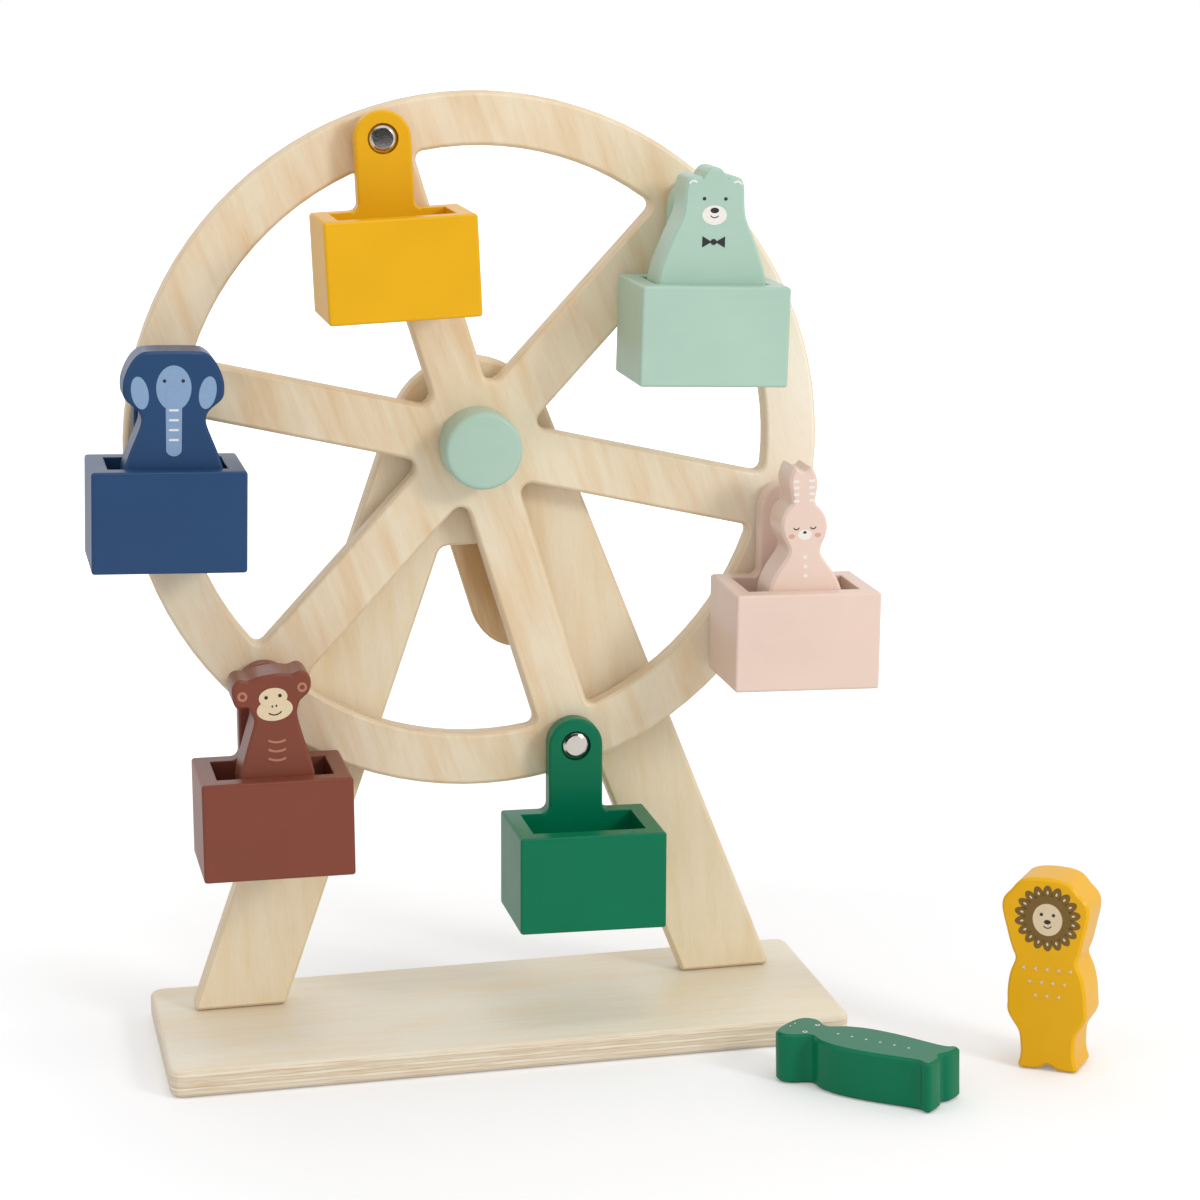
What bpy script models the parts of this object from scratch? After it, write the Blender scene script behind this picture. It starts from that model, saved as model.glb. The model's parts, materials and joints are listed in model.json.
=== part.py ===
"""A wooden ferris wheel toy with six hanging buckets and six animal figures.

Metres, +Z up. The origin is the centre of the base board's underside, and the wheel faces -Y.
A crank behind the A-shaped stand turns the wheel. Each bucket hangs on its own bolt in the rim.
Four figures sit in their buckets, and two are out on the floor in front of the base.
"""

import math

import bmesh
import bpy
from mathutils import Matrix, Vector

# Clearances
SEAT_GAP = 0.0003
BORE_GAP = 0.0003

# Base board
BASE_END_MARGIN = 0.0170
BASE_DEPTH = 0.120
BASE_THICKNESS = 0.012
BASE_CORNER_RADIUS = 0.006

# Stand: one A-shaped board with a round head
HUB_ABOVE_BASE = 0.2562
STAND_FRONT_Y = 0.0196
STAND_THICKNESS = 0.012
STAND_HEAD_RADIUS = 0.037
STAND_LEG_LEAN = math.radians(20.4)
STAND_LEG_WIDTH = 0.0395
STAND_CROTCH_DROP = 0.048
STAND_CROTCH_RADIUS = 0.005
STAND_FOOT_RADIUS = 0.002

# Screws that hold the stand on the base, two under each foot
SCREW_LENGTH = 0.030
SCREW_RADIUS = 0.0019
SCREW_HEAD_LIP = 0.0021
SCREW_HEAD_DEPTH = 0.0024
SCREW_TIP_LENGTH = 0.0038
SCREW_SHARES = (0.26, 0.68)

# Wheel: one board with six windows
WHEEL_RADIUS = 0.155
WHEEL_THICKNESS = 0.012
WHEEL_RIM_WIDTH = 0.0235
WHEEL_SPOKES = 6
WHEEL_SPOKE_WIDTH = 0.0246
WHEEL_PHASE = math.radians(105.96)
WINDOW_HUB_RADIUS = 0.0043
WINDOW_RIM_RADIUS = 0.0035

# Axle, hub cap and spacers
AXLE_RADIUS = 0.006
HUB_CAP_WALL = 0.0112
HUB_CAP_LENGTH = 0.0195
HUB_CAP_EDGE = 0.0022
HUB_CAP_BORE_DEPTH = 0.012
WHEEL_TO_STAND = 0.0038
STAND_TO_CRANK = 0.003
SPACER_WALL = 0.005

# Crank
CRANK_THICKNESS = 0.012
CRANK_END_RADIUS = 0.0213
CRANK_LENGTH = 0.0815
GRIP_SPIGOT_RADIUS = 0.005
GRIP_NECK_LIP = 0.0035
GRIP_SWELL = 0.002
GRIP_LENGTH = 0.034

# Bucket bolts with their washers and nuts
BOLT_INSET = 0.0127
BOLT_RADIUS = 0.0025
BOLT_HEAD_LIP = 0.0036
BOLT_HEAD_THICKNESS = 0.0022
BOLT_HEAD_EDGE = 0.0011
BOLT_HEAD_RECESS = 0.0006
BOLT_HEAD_ROOM = 0.0006
WASHER_WALL = 0.0034
NUT_WALL = 0.0013
NUT_THICKNESS = 0.0027
NUT_ROOM = 0.0008

# Buckets
BUCKET_TO_WHEEL = 0.003
BUCKET_HEIGHT = 0.0435
BUCKET_CORNER_RADIUS = 0.002
BOX_BELOW_BOLT = 0.0305
HANGER_THICKNESS = 0.010
HANGER_ARM_WIDTH = 0.0245
HANGER_FILLET = 0.0035
END_WALL = 0.0075
FRONT_WALL = 0.009
BOX_FLOOR = 0.006

# Figures, all cut to fit one blank, and the room that a bucket leaves them
FIGURE_HALF_WIDTH = 0.0242
FIGURE_HEIGHT = 0.0875
FIGURE_THICKNESS = 0.022
FIGURE_SIDE_ROOM = 0.00105
FIGURE_BACK_ROOM = 0.0102
FOOT_NOTCH_WIDTH = 0.007
FOOT_NOTCH_HEIGHT = 0.0027
NECK_HEIGHT = 0.062

# Softened edges
BOARD_EDGE = 0.0015
BUCKET_EDGE = 0.0012
FIGURE_EDGE = 0.0012

# Segments of round shapes
RIM_SEGMENTS = 96
WINDOW_SEGMENTS = 12
KNOB_SEGMENTS = 32
SMALL_SEGMENTS = 16
CORNER_STEPS = 3
CURVE_STEPS = 2

# Paints and other finishes: colour, roughness, metallic
FINISHES = {
    "ply": ((0.76, 0.62, 0.42), 0.55, 0.0),
    "yellow": ((0.84, 0.46, 0.04), 0.45, 0.0),
    "mint": ((0.43, 0.60, 0.50), 0.45, 0.0),
    "pink": ((0.79, 0.60, 0.52), 0.45, 0.0),
    "green": ((0.01, 0.18, 0.09), 0.45, 0.0),
    "brown": ((0.23, 0.07, 0.05), 0.45, 0.0),
    "blue": ((0.03, 0.08, 0.18), 0.45, 0.0),
    "steel": ((0.62, 0.62, 0.63), 0.25, 1.0),
    "nylon": ((0.70, 0.69, 0.66), 0.40, 0.0),
}

# Buckets clockwise from the wheel's phase: paint, and how far each hangs off level
BUCKETS = {
    "yellow": math.radians(1.3),
    "mint": math.radians(-3.0),
    "pink": math.radians(-2.1),
    "green": math.radians(-1.4),
    "brown": math.radians(-0.7),
    "blue": math.radians(-2.5),
}

# Half outlines of the figures from the foot to the top of the head, as shares of the blank
LEGS = ((0.465, 0.0), (0.512, 0.014), (0.492, 0.055), (0.504, 0.16))
LION = LEGS + (
    (0.562, 0.228), (0.694, 0.297), (0.731, 0.377), (0.674, 0.491), (0.558, 0.583),
    (0.620, 0.629), (0.764, 0.720), (0.810, 0.811), (0.711, 0.914), (0.434, 0.985),
)
ELEPHANT = LEGS + (
    (0.600, 0.217), (0.785, 0.286), (0.880, 0.366), (0.856, 0.428), (0.764, 0.504),
    (0.632, 0.592), (0.554, 0.657), (0.620, 0.709), (0.847, 0.759), (0.880, 0.811),
    (0.860, 0.863), (0.744, 0.937), (0.583, 0.983), (0.380, 0.994),
)
BEAR = LEGS + (
    (0.640, 0.211), (0.880, 0.280), (1.0, 0.360), (1.0, 0.427), (0.950, 0.497), (0.851, 0.576),
    (0.744, 0.654), (0.612, 0.735), (0.562, 0.787), (0.546, 0.863), (0.529, 0.917),
    (0.434, 0.965), (0.285, 0.968), (0.120, 0.954),
)
RABBIT = LEGS + (
    (0.570, 0.229), (0.665, 0.309), (0.682, 0.371), (0.640, 0.440), (0.516, 0.514),
    (0.372, 0.571), (0.273, 0.626), (0.372, 0.689), (0.417, 0.741), (0.393, 0.797),
    (0.289, 0.843), (0.202, 0.871), (0.244, 0.931), (0.252, 0.971), (0.190, 1.017),
    (0.124, 1.031), (0.062, 0.997), (0.041, 0.933), (0.025, 0.886),
)
MONKEY = LEGS + (
    (0.562, 0.223), (0.665, 0.303), (0.690, 0.377), (0.649, 0.457), (0.562, 0.543),
    (0.463, 0.634), (0.384, 0.720), (0.422, 0.763), (0.484, 0.792), (0.641, 0.821),
    (0.711, 0.869), (0.682, 0.914), (0.554, 0.939), (0.393, 0.927), (0.207, 0.941),
)
CROCODILE = (
    (0.500, 0.0), (0.554, 0.016), (0.541, 0.048), (0.479, 0.071), (0.512, 0.171),
    (0.579, 0.309), (0.603, 0.434), (0.579, 0.549), (0.463, 0.651), (0.384, 0.709),
    (0.446, 0.760), (0.521, 0.817), (0.463, 0.886), (0.248, 0.914),
)

# The seated figures: bucket, half outline, step to the side, and lean of the head
SEATED = {
    "elephant": ("blue", ELEPHANT, 0.0024, 0.0),
    "bear": ("mint", BEAR, -0.0004, 0.0),
    "rabbit": ("pink", RABBIT, -0.0003, 0.0),
    "monkey": ("brown", MONKEY, 0.0010, math.radians(6.5)),
}

# The loose figures: where the middle of the foot is on the floor, the turn there, and how
# far the lion's outline slants to the side for its height
LION_PLACE = Vector((0.2293, -0.1111, 0.0))
LION_TURN = math.radians(-34.5)
LION_SLANT = -0.017
CROCODILE_PLACE = Vector((0.1682, -0.1498, 0.0))
CROCODILE_TURN = math.radians(43.5)

# Places and sizes that follow from those above
HUB_Z = BASE_THICKNESS + HUB_ABOVE_BASE
STAND_BACK_Y = STAND_FRONT_Y + STAND_THICKNESS
STAND_MIDDLE_Y = STAND_FRONT_Y + STAND_THICKNESS / 2
FOOT_DROP = SEAT_GAP - HUB_ABOVE_BASE
WHEEL_BACK_Y = STAND_FRONT_Y - WHEEL_TO_STAND
WHEEL_FRONT_Y = WHEEL_BACK_Y - WHEEL_THICKNESS
HUB_CAP_BACK_Y = WHEEL_FRONT_Y - SEAT_GAP
HUB_CAP_RADIUS = AXLE_RADIUS + HUB_CAP_WALL
AXLE_BORE = AXLE_RADIUS + BORE_GAP
CRANK_FRONT_Y = STAND_BACK_Y + STAND_TO_CRANK
CRANK_BACK_Y = CRANK_FRONT_Y + CRANK_THICKNESS
CRANK_ANGLE = WHEEL_PHASE + math.pi
SPOKE_STEP = 2 * math.pi / WHEEL_SPOKES
BOLT_CIRCLE_RADIUS = WHEEL_RADIUS - BOLT_INSET
BOLT_BORE = BOLT_RADIUS + BORE_GAP
BOLT_HEAD_RADIUS = BOLT_RADIUS + BOLT_HEAD_LIP
BOLT_END_Y = WHEEL_BACK_Y - SEAT_GAP
NUT_CORNER_RADIUS = (BOLT_BORE + NUT_WALL) / math.cos(math.pi / 6)
NUT_SEAT_Y = BOLT_END_Y - NUT_THICKNESS - SEAT_GAP
CAVITY_HALF_WIDTH = FIGURE_HALF_WIDTH + FIGURE_SIDE_ROOM
BUCKET_HALF_WIDTH = CAVITY_HALF_WIDTH + END_WALL
HANGER_BACK_Y = WHEEL_FRONT_Y - BUCKET_TO_WHEEL
HANGER_FRONT_Y = HANGER_BACK_Y - HANGER_THICKNESS
BOLT_HEAD_FRONT_Y = HANGER_FRONT_Y + BOLT_HEAD_RECESS
BOLT_HEAD_BACK_Y = BOLT_HEAD_FRONT_Y + BOLT_HEAD_THICKNESS
BOX_BACK_Y = HANGER_FRONT_Y - SEAT_GAP
FIGURE_FRONT_Y = BOX_BACK_Y - FIGURE_BACK_ROOM - FIGURE_THICKNESS
CAVITY_FRONT_Y = FIGURE_FRONT_Y - SEAT_GAP
BUCKET_FRONT_Y = CAVITY_FRONT_Y - FRONT_WALL
BOX_TOP = -BOX_BELOW_BOLT
BOX_BOTTOM = BOX_TOP - BUCKET_HEIGHT
BED = BOX_BOTTOM + BOX_FLOOR
HALF_SPOKE = WHEEL_SPOKE_WIDTH / 2
HALF_WINDOW = SPOKE_STEP / 2
RIM_INNER_RADIUS = WHEEL_RADIUS - WHEEL_RIM_WIDTH


def clear_scene():
    for item in list(bpy.data.objects):
        bpy.data.objects.remove(item)


def finish(name):
    """The material of this name, made on first use."""
    if name in bpy.data.materials:
        return bpy.data.materials[name]
    colour, roughness, metallic = FINISHES[name]
    material = bpy.data.materials.new(name)
    material.use_nodes = True
    shader = material.node_tree.nodes["Principled BSDF"]
    shader.inputs["Base Color"].default_value = (*colour, 1.0)
    shader.inputs["Roughness"].default_value = roughness
    shader.inputs["Metallic"].default_value = metallic
    return material


def joint_point(name, place, tilt=0.0, parent=None):
    """An empty that pieces hang on. tilt is counter-clockwise as seen from the front."""
    point = bpy.data.objects.new(name, None)
    point.location = place
    point.rotation_euler = (0.0, -tilt, 0.0)
    point.parent = parent
    bpy.context.collection.objects.link(point)
    return point


def piece(name, bm, finish_name, parent=None, place=(0.0, 0.0, 0.0), turn=(0.0, 0.0, 0.0)):
    """Turns a modelled mesh into one named object."""
    bmesh.ops.recalc_face_normals(bm, faces=bm.faces)
    mesh = bpy.data.meshes.new(name)
    bm.to_mesh(mesh)
    bm.free()
    mesh.shade_smooth()
    mesh.set_sharp_from_angle(angle=math.radians(35))
    mesh.materials.append(finish(finish_name))
    item = bpy.data.objects.new(name, mesh)
    item.parent = parent
    item.location = place
    item.rotation_euler = turn
    bpy.context.collection.objects.link(item)
    return item


def polar(radius, angle):
    return Vector((radius * math.cos(angle), radius * math.sin(angle)))


def arc(centre, radius, start, end, steps):
    """Points along an arc, both ends included."""
    angles = [start + (end - start) * i / steps for i in range(steps + 1)]
    return [Vector(centre) + polar(radius, angle) for angle in angles]


def circle(centre, radius, segments=SMALL_SEGMENTS):
    return arc(centre, radius, 0.0, 2 * math.pi, segments)[:-1]


def hole(centre, radius):
    """A small circle that runs clockwise, as the outline of a hole does."""
    return circle(centre, radius)[::-1]


def rounded_corner(before, corner, after, radius):
    """The points that round one corner of an outline."""
    back = (before - corner).normalized()
    ahead = (after - corner).normalized()
    half = back.angle(ahead) / 2
    centre = corner + (back + ahead).normalized() * (radius / math.sin(half))
    start = corner + back * (radius / math.tan(half)) - centre
    end = corner + ahead * (radius / math.tan(half)) - centre
    first = math.atan2(start.y, start.x)
    sweep = (math.atan2(end.y, end.x) - first + math.pi) % (2 * math.pi) - math.pi
    return arc(centre, radius, first, first + sweep, CORNER_STEPS)


def rounded_outline(corners):
    """A closed outline from (x, y, radius) corners, where a radius of 0 stays sharp."""
    spots = [Vector((x, y)) for x, y, _ in corners]
    points = []
    for i, (_, _, radius) in enumerate(corners):
        after = spots[(i + 1) % len(spots)]
        points += rounded_corner(spots[i - 1], spots[i], after, radius) if radius else [spots[i]]
    return points


def spline(points, steps):
    """A smooth open curve through the points, by Catmull and Rom's formula."""
    ends = [points[0], *points, points[-1]]
    curve = []
    for p0, p1, p2, p3 in zip(ends, ends[1:], ends[2:], ends[3:]):
        slope, bend, twist = p2 - p0, 2 * p0 - 5 * p1 + 4 * p2 - p3, 3 * p1 - p0 - 3 * p2 + p3
        for k in range(steps):
            t = k / steps
            curve.append(p1 + (slope * t + bend * t ** 2 + twist * t ** 3) / 2)
    return curve + [points[-1]]


def inset(outline, amount):
    """The outline moved to its left: inwards where it runs counter-clockwise, else outwards."""
    moved = []
    for i, here in enumerate(outline):
        behind = (here - outline[i - 1]).normalized().orthogonal()
        ahead = (outline[(i + 1) % len(outline)] - here).normalized().orthogonal()
        moved.append(here + (behind + ahead) * amount / (1 + behind.dot(ahead)))
    return moved


def softened(outline, near, far, edge):
    """The rings (depth, outline) of a board's rim, with its two long edges taken off."""
    slim = inset(outline, edge)
    return [(near, slim), (near + edge, outline), (far - edge, outline), (far, slim)]


def straight(outline, near, far):
    return [(near, outline), (far, outline)]


def upright(across, height, depth):
    """For a board that faces the front: its outline lies in X and Z."""
    return Vector((across, depth, height))


def lying(across, along, height):
    """For a board that lies flat: its outline lies in X and Y."""
    return Vector((across, along, height))


def board(place, outside, *holes):
    """A closed solid from rings (depth, outline): those of its outside, then of each hole."""
    bm = bmesh.new()
    near_edges, far_edges = [], []
    for rings in (outside, *holes):
        loops = [[bm.verts.new(place(x, y, depth)) for x, y in outline] for depth, outline in rings]
        for loop, following in zip(loops, loops[1:]):
            for i, corner in enumerate(loop):
                bm.faces.new((loop[i - 1], corner, following[i], following[i - 1]))
        near_edges += [bm.edges.get((loops[0][i - 1], corner)) for i, corner in enumerate(loops[0])]
        far_edges += [bm.edges.get((loops[-1][i - 1], corner)) for i, corner in enumerate(loops[-1])]
    for edges in (near_edges, far_edges):
        bmesh.ops.triangle_fill(bm, use_beauty=True, edges=edges)
    return bm


def turned(profile, segments=SMALL_SEGMENTS, ring=False):
    """A solid turned about Y from (radius, y) points. A ring's profile is closed."""
    bm = bmesh.new()
    verts = [bm.verts.new((radius, y, 0.0)) for radius, y in profile]
    pairs = list(zip(verts, verts[1:])) + ([(verts[-1], verts[0])] if ring else [])
    edges = [bm.edges.new(pair) for pair in pairs]
    bmesh.ops.spin(
        bm, geom=verts + edges, cent=(0, 0, 0), axis=(0, 1, 0), angle=2 * math.pi,
        steps=segments, use_merge=True,
    )
    bmesh.ops.remove_doubles(bm, verts=bm.verts, dist=1e-6)
    return bm


def flat_ring(bore, radius, near, far):
    """A plain turned ring that fills the space between two faces, with a seat gap at each."""
    start, end = near + SEAT_GAP, far - SEAT_GAP
    return turned([(bore, start), (radius, start), (radius, end), (bore, end)], ring=True)


def bolt_spot(index):
    """A bucket bolt's place on the wheel's face, from the hub."""
    return polar(BOLT_CIRCLE_RADIUS, WHEEL_PHASE - index * SPOKE_STEP)


def leg_edge(distance, height):
    """How far out a leg's long edge is at a height from the hub, from its distance to the hub."""
    return distance / math.cos(STAND_LEG_LEAN) - height * math.tan(STAND_LEG_LEAN)


def foot_edges():
    """How far out the inner and the outer corner of each foot are."""
    return [leg_edge(d, FOOT_DROP) for d in (STAND_HEAD_RADIUS - STAND_LEG_WIDTH, STAND_HEAD_RADIUS)]


def screw_spots():
    """Where the stand's screws are, in X and Y."""
    inner, outer = foot_edges()
    places = [inner + (outer - inner) * share for share in SCREW_SHARES]
    return [Vector((x, STAND_MIDDLE_Y)) for x in [-x for x in places] + places]


def stand_outline():
    """The A: a round head, two straight legs, and a flat crotch between them."""
    inner, outer = foot_edges()
    crotch = leg_edge(STAND_HEAD_RADIUS - STAND_LEG_WIDTH, -STAND_CROTCH_DROP)
    shoulder = polar(STAND_HEAD_RADIUS, STAND_LEG_LEAN)
    corners = [
        (-shoulder.x, shoulder.y, 0.0),
        (-outer, FOOT_DROP, STAND_FOOT_RADIUS),
        (-inner, FOOT_DROP, STAND_FOOT_RADIUS),
        (-crotch, -STAND_CROTCH_DROP, STAND_CROTCH_RADIUS),
        (crotch, -STAND_CROTCH_DROP, STAND_CROTCH_RADIUS),
        (inner, FOOT_DROP, STAND_FOOT_RADIUS),
        (outer, FOOT_DROP, STAND_FOOT_RADIUS),
        (shoulder.x, shoulder.y, 0.0),
    ]
    head = arc((0, 0), STAND_HEAD_RADIUS, STAND_LEG_LEAN, math.pi - STAND_LEG_LEAN, SMALL_SEGMENTS)
    return rounded_outline(corners) + head[1:-1]


def window_outline(middle):
    """One window, clockwise, between the spokes on either side of this angle."""
    quarter = math.pi / 2
    hub_corner = (HALF_SPOKE + WINDOW_HUB_RADIUS) / math.sin(HALF_WINDOW)
    out = RIM_INNER_RADIUS - WINDOW_RIM_RADIUS
    side = HALF_WINDOW - math.asin((HALF_SPOKE + WINDOW_RIM_RADIUS) / out)
    hub = arc((hub_corner, 0), WINDOW_HUB_RADIUS, 3 * quarter - HALF_WINDOW,
              quarter + HALF_WINDOW, CORNER_STEPS + 1)
    upper = arc(polar(out, side), WINDOW_RIM_RADIUS, quarter + HALF_WINDOW, side, CORNER_STEPS)
    rim = arc((0, 0), RIM_INNER_RADIUS, side, -side, WINDOW_SEGMENTS)
    lower = arc(polar(out, -side), WINDOW_RIM_RADIUS, -side, -quarter - HALF_WINDOW, CORNER_STEPS)
    spin = Matrix.Rotation(middle, 2)
    return [spin @ point for point in hub + upper + rim[1:-1] + lower]


def hanger_outline():
    """A bucket's back board and its arm, from the bolt down."""
    arm = HANGER_ARM_WIDTH / 2
    corners = [
        (-arm, 0.0, 0.0),
        (-arm, BOX_TOP, HANGER_FILLET),
        (-BUCKET_HALF_WIDTH, BOX_TOP, BUCKET_CORNER_RADIUS),
        (-BUCKET_HALF_WIDTH, BOX_BOTTOM, BUCKET_CORNER_RADIUS),
        (BUCKET_HALF_WIDTH, BOX_BOTTOM, BUCKET_CORNER_RADIUS),
        (BUCKET_HALF_WIDTH, BOX_TOP, BUCKET_CORNER_RADIUS),
        (arm, BOX_TOP, HANGER_FILLET),
        (arm, 0.0, 0.0),
    ]
    top = arc((0, 0), arm, 0.0, math.pi, KNOB_SEGMENTS // 2)
    return rounded_outline(corners) + top[1:-1]


def foot_notch():
    """The shallow arch between a figure's feet, from left to right."""
    radius = ((FOOT_NOTCH_WIDTH / 2) ** 2 + FOOT_NOTCH_HEIGHT ** 2) / (2 * FOOT_NOTCH_HEIGHT)
    drop = FOOT_NOTCH_HEIGHT - radius
    start = math.asin(-drop / radius)
    return arc((0, drop), radius, math.pi - start, start, CORNER_STEPS + 1)


def figure_outline(half_outline, lean, slant):
    """A figure's outline from its half, with the notch between its feet."""
    right = [Vector((x * FIGURE_HALF_WIDTH, z * FIGURE_HEIGHT)) for x, z in half_outline]
    left = [Vector((-point.x, point.y)) for point in reversed(right)]
    neck = Vector((0.0, NECK_HEIGHT))
    tip = Matrix.Rotation(lean, 2)
    points = [neck + tip @ (p - neck) if p.y > NECK_HEIGHT else p for p in right + left]
    slanted = [Vector((p.x + slant * p.y, p.y)) for p in points]
    return spline(slanted, CURVE_STEPS) + foot_notch()


def make_base():
    """The base board, with countersunk screw holes in its underside."""
    half_length, half_depth = foot_edges()[1] + BASE_END_MARGIN, BASE_DEPTH / 2
    corners = [(side * half_length, end * half_depth, BASE_CORNER_RADIUS)
               for side, end in ((-1, -1), (1, -1), (1, 1), (-1, 1))]
    bore = SCREW_RADIUS + BORE_GAP
    holes = []
    for spot in screw_spots():
        shank = hole(spot, bore)
        holes.append([(0.0, hole(spot, bore + SCREW_HEAD_LIP)), (SCREW_HEAD_DEPTH, shank),
                      (BASE_THICKNESS, shank)])
    rim = softened(rounded_outline(corners), 0.0, BASE_THICKNESS, BOARD_EDGE)
    piece("base_board", board(lying, rim, *holes), "ply")


def make_stand(hub):
    axle_hole = hole((0, 0), AXLE_BORE)
    rim = softened(stand_outline(), STAND_FRONT_Y, STAND_BACK_Y, BOARD_EDGE)
    solid = board(upright, rim, straight(axle_hole, STAND_FRONT_Y, STAND_BACK_Y))
    frame = piece("stand_frame", solid, "ply", parent=hub)
    for i, spot in enumerate(screw_spots()):
        shank = circle(spot, SCREW_RADIUS + BORE_GAP)
        drill = straight(shank, BASE_THICKNESS - SEAT_GAP, SCREW_LENGTH + SEAT_GAP)
        cutter = piece(f"screw_hole_{i + 1}", board(lying, drill), "steel")
        cutter.hide_render = True
        cutter.display_type = "WIRE"
        cut = frame.modifiers.new(f"screw hole {i + 1}", "BOOLEAN")
        cut.operation = "DIFFERENCE"
        cut.solver = "EXACT"
        cut.object = cutter


def make_screws():
    """Countersunk wood screws, driven up through the base into the stand's feet."""
    head = SCREW_RADIUS + SCREW_HEAD_LIP - SEAT_GAP
    profile = (
        (SEAT_GAP, head), (SCREW_HEAD_DEPTH, SCREW_RADIUS),
        (SCREW_LENGTH - SCREW_TIP_LENGTH, SCREW_RADIUS), (SCREW_LENGTH, SCREW_RADIUS / 3),
    )
    for i, spot in enumerate(screw_spots()):
        rings = [(height, circle(spot, radius)) for height, radius in profile]
        piece(f"stand_screw_{i + 1}", board(lying, rings), "steel")


def make_wheel(hub):
    """The wheel board, with a bolt hole and a sunk nut seat at the end of each spoke."""
    rim = softened(circle((0, 0), WHEEL_RADIUS, RIM_SEGMENTS), WHEEL_FRONT_Y, WHEEL_BACK_Y, BOARD_EDGE)
    holes = [straight(hole((0, 0), AXLE_BORE), WHEEL_FRONT_Y, WHEEL_BACK_Y)]
    for i in range(WHEEL_SPOKES):
        window = window_outline(WHEEL_PHASE + (i + 0.5) * SPOKE_STEP)
        holes.append(softened(window, WHEEL_FRONT_Y, WHEEL_BACK_Y, BOARD_EDGE))
        shank = hole(bolt_spot(i), BOLT_BORE)
        seat = hole(bolt_spot(i), NUT_CORNER_RADIUS + NUT_ROOM)
        holes.append(straight(shank, WHEEL_FRONT_Y, NUT_SEAT_Y) + straight(seat, NUT_SEAT_Y, WHEEL_BACK_Y))
    piece("wheel_disc", board(upright, rim, *holes), "ply", parent=hub)


def make_axle(hub):
    """The dowel that joins hub cap, wheel and crank, and the spacers beside the stand."""
    start, end = HUB_CAP_BACK_Y - HUB_CAP_BORE_DEPTH + SEAT_GAP, CRANK_BACK_Y - SEAT_GAP
    dowel = turned([(0, start), (AXLE_RADIUS, start), (AXLE_RADIUS, end), (0, end)])
    piece("axle", dowel, "ply", parent=hub)
    radius = AXLE_BORE + SPACER_WALL
    front = flat_ring(AXLE_BORE, radius, WHEEL_BACK_Y, STAND_FRONT_Y)
    back = flat_ring(AXLE_BORE, radius, STAND_BACK_Y, CRANK_FRONT_Y)
    piece("wheel_spacer", front, "nylon", parent=hub)
    piece("crank_spacer", back, "nylon", parent=hub)


def make_hub_cap(hub):
    """The round knob on the wheel's front, bored for the axle."""
    front = HUB_CAP_BACK_Y - HUB_CAP_LENGTH
    edge = arc((HUB_CAP_RADIUS - HUB_CAP_EDGE, front + HUB_CAP_EDGE), HUB_CAP_EDGE,
               -math.pi / 2, 0.0, CORNER_STEPS)
    bore_end = HUB_CAP_BACK_Y - HUB_CAP_BORE_DEPTH
    profile = [(0, front), *edge, (HUB_CAP_RADIUS, HUB_CAP_BACK_Y), (AXLE_BORE, HUB_CAP_BACK_Y),
               (AXLE_BORE, bore_end), (0, bore_end)]
    piece("hub_cap", turned(profile, KNOB_SEGMENTS), "mint", parent=hub)


def make_crank(hub):
    """The wide round-ended arm behind the stand, and the grip at its outer end."""
    end = polar(CRANK_LENGTH, CRANK_ANGLE)
    side = CRANK_ANGLE + math.pi / 2
    outline = arc((0, 0), CRANK_END_RADIUS, side, side + math.pi, SMALL_SEGMENTS)
    outline += arc(end, CRANK_END_RADIUS, side + math.pi, side + 2 * math.pi, SMALL_SEGMENTS)
    holes = [
        straight(hole((0, 0), AXLE_BORE), CRANK_FRONT_Y, CRANK_BACK_Y),
        straight(hole(end, GRIP_SPIGOT_RADIUS + BORE_GAP), CRANK_FRONT_Y, CRANK_BACK_Y),
    ]
    rim = softened(outline, CRANK_FRONT_Y, CRANK_BACK_Y, BOARD_EDGE)
    piece("crank_arm", board(upright, rim, *holes), "ply", parent=hub)
    start, seat = CRANK_FRONT_Y + SEAT_GAP, CRANK_BACK_Y + SEAT_GAP
    neck = GRIP_SPIGOT_RADIUS + GRIP_NECK_LIP
    shape = ((neck, 0.0), (neck + GRIP_SWELL * 0.6, 0.4), (neck + GRIP_SWELL, 0.75),
             (neck + GRIP_SWELL * 0.7, 0.9), (neck * 0.8, 0.98), (0, 1.0))
    profile = [(0, start), (GRIP_SPIGOT_RADIUS, start), (GRIP_SPIGOT_RADIUS, seat)]
    profile += [(radius, seat + GRIP_LENGTH * share) for radius, share in shape]
    piece("crank_grip", turned(profile), "mint", parent=hub, place=upright(*end, 0.0))


def make_bolt(paint, parent):
    """A bucket's bolt with its washer and nut, on the bolt's own axis."""
    profile = [
        (0, BOLT_HEAD_FRONT_Y),
        (BOLT_HEAD_RADIUS - BOLT_HEAD_EDGE, BOLT_HEAD_FRONT_Y),
        (BOLT_HEAD_RADIUS, BOLT_HEAD_FRONT_Y + BOLT_HEAD_EDGE),
        (BOLT_HEAD_RADIUS, BOLT_HEAD_BACK_Y),
        (BOLT_RADIUS, BOLT_HEAD_BACK_Y),
        (BOLT_RADIUS, BOLT_END_Y),
        (0, BOLT_END_Y),
    ]
    piece(f"bolt_{paint}", turned(profile), "steel", parent=parent)
    washer = flat_ring(BOLT_BORE, BOLT_BORE + WASHER_WALL, HANGER_BACK_Y, WHEEL_FRONT_Y)
    piece(f"washer_{paint}", washer, "nylon", parent=parent)
    hexagon = straight(circle((0, 0), NUT_CORNER_RADIUS, 6), NUT_SEAT_Y + SEAT_GAP, BOLT_END_Y)
    bore = straight(hole((0, 0), BOLT_BORE), NUT_SEAT_Y + SEAT_GAP, BOLT_END_Y)
    piece(f"nut_{paint}", board(upright, hexagon, bore), "steel", parent=parent)


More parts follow.
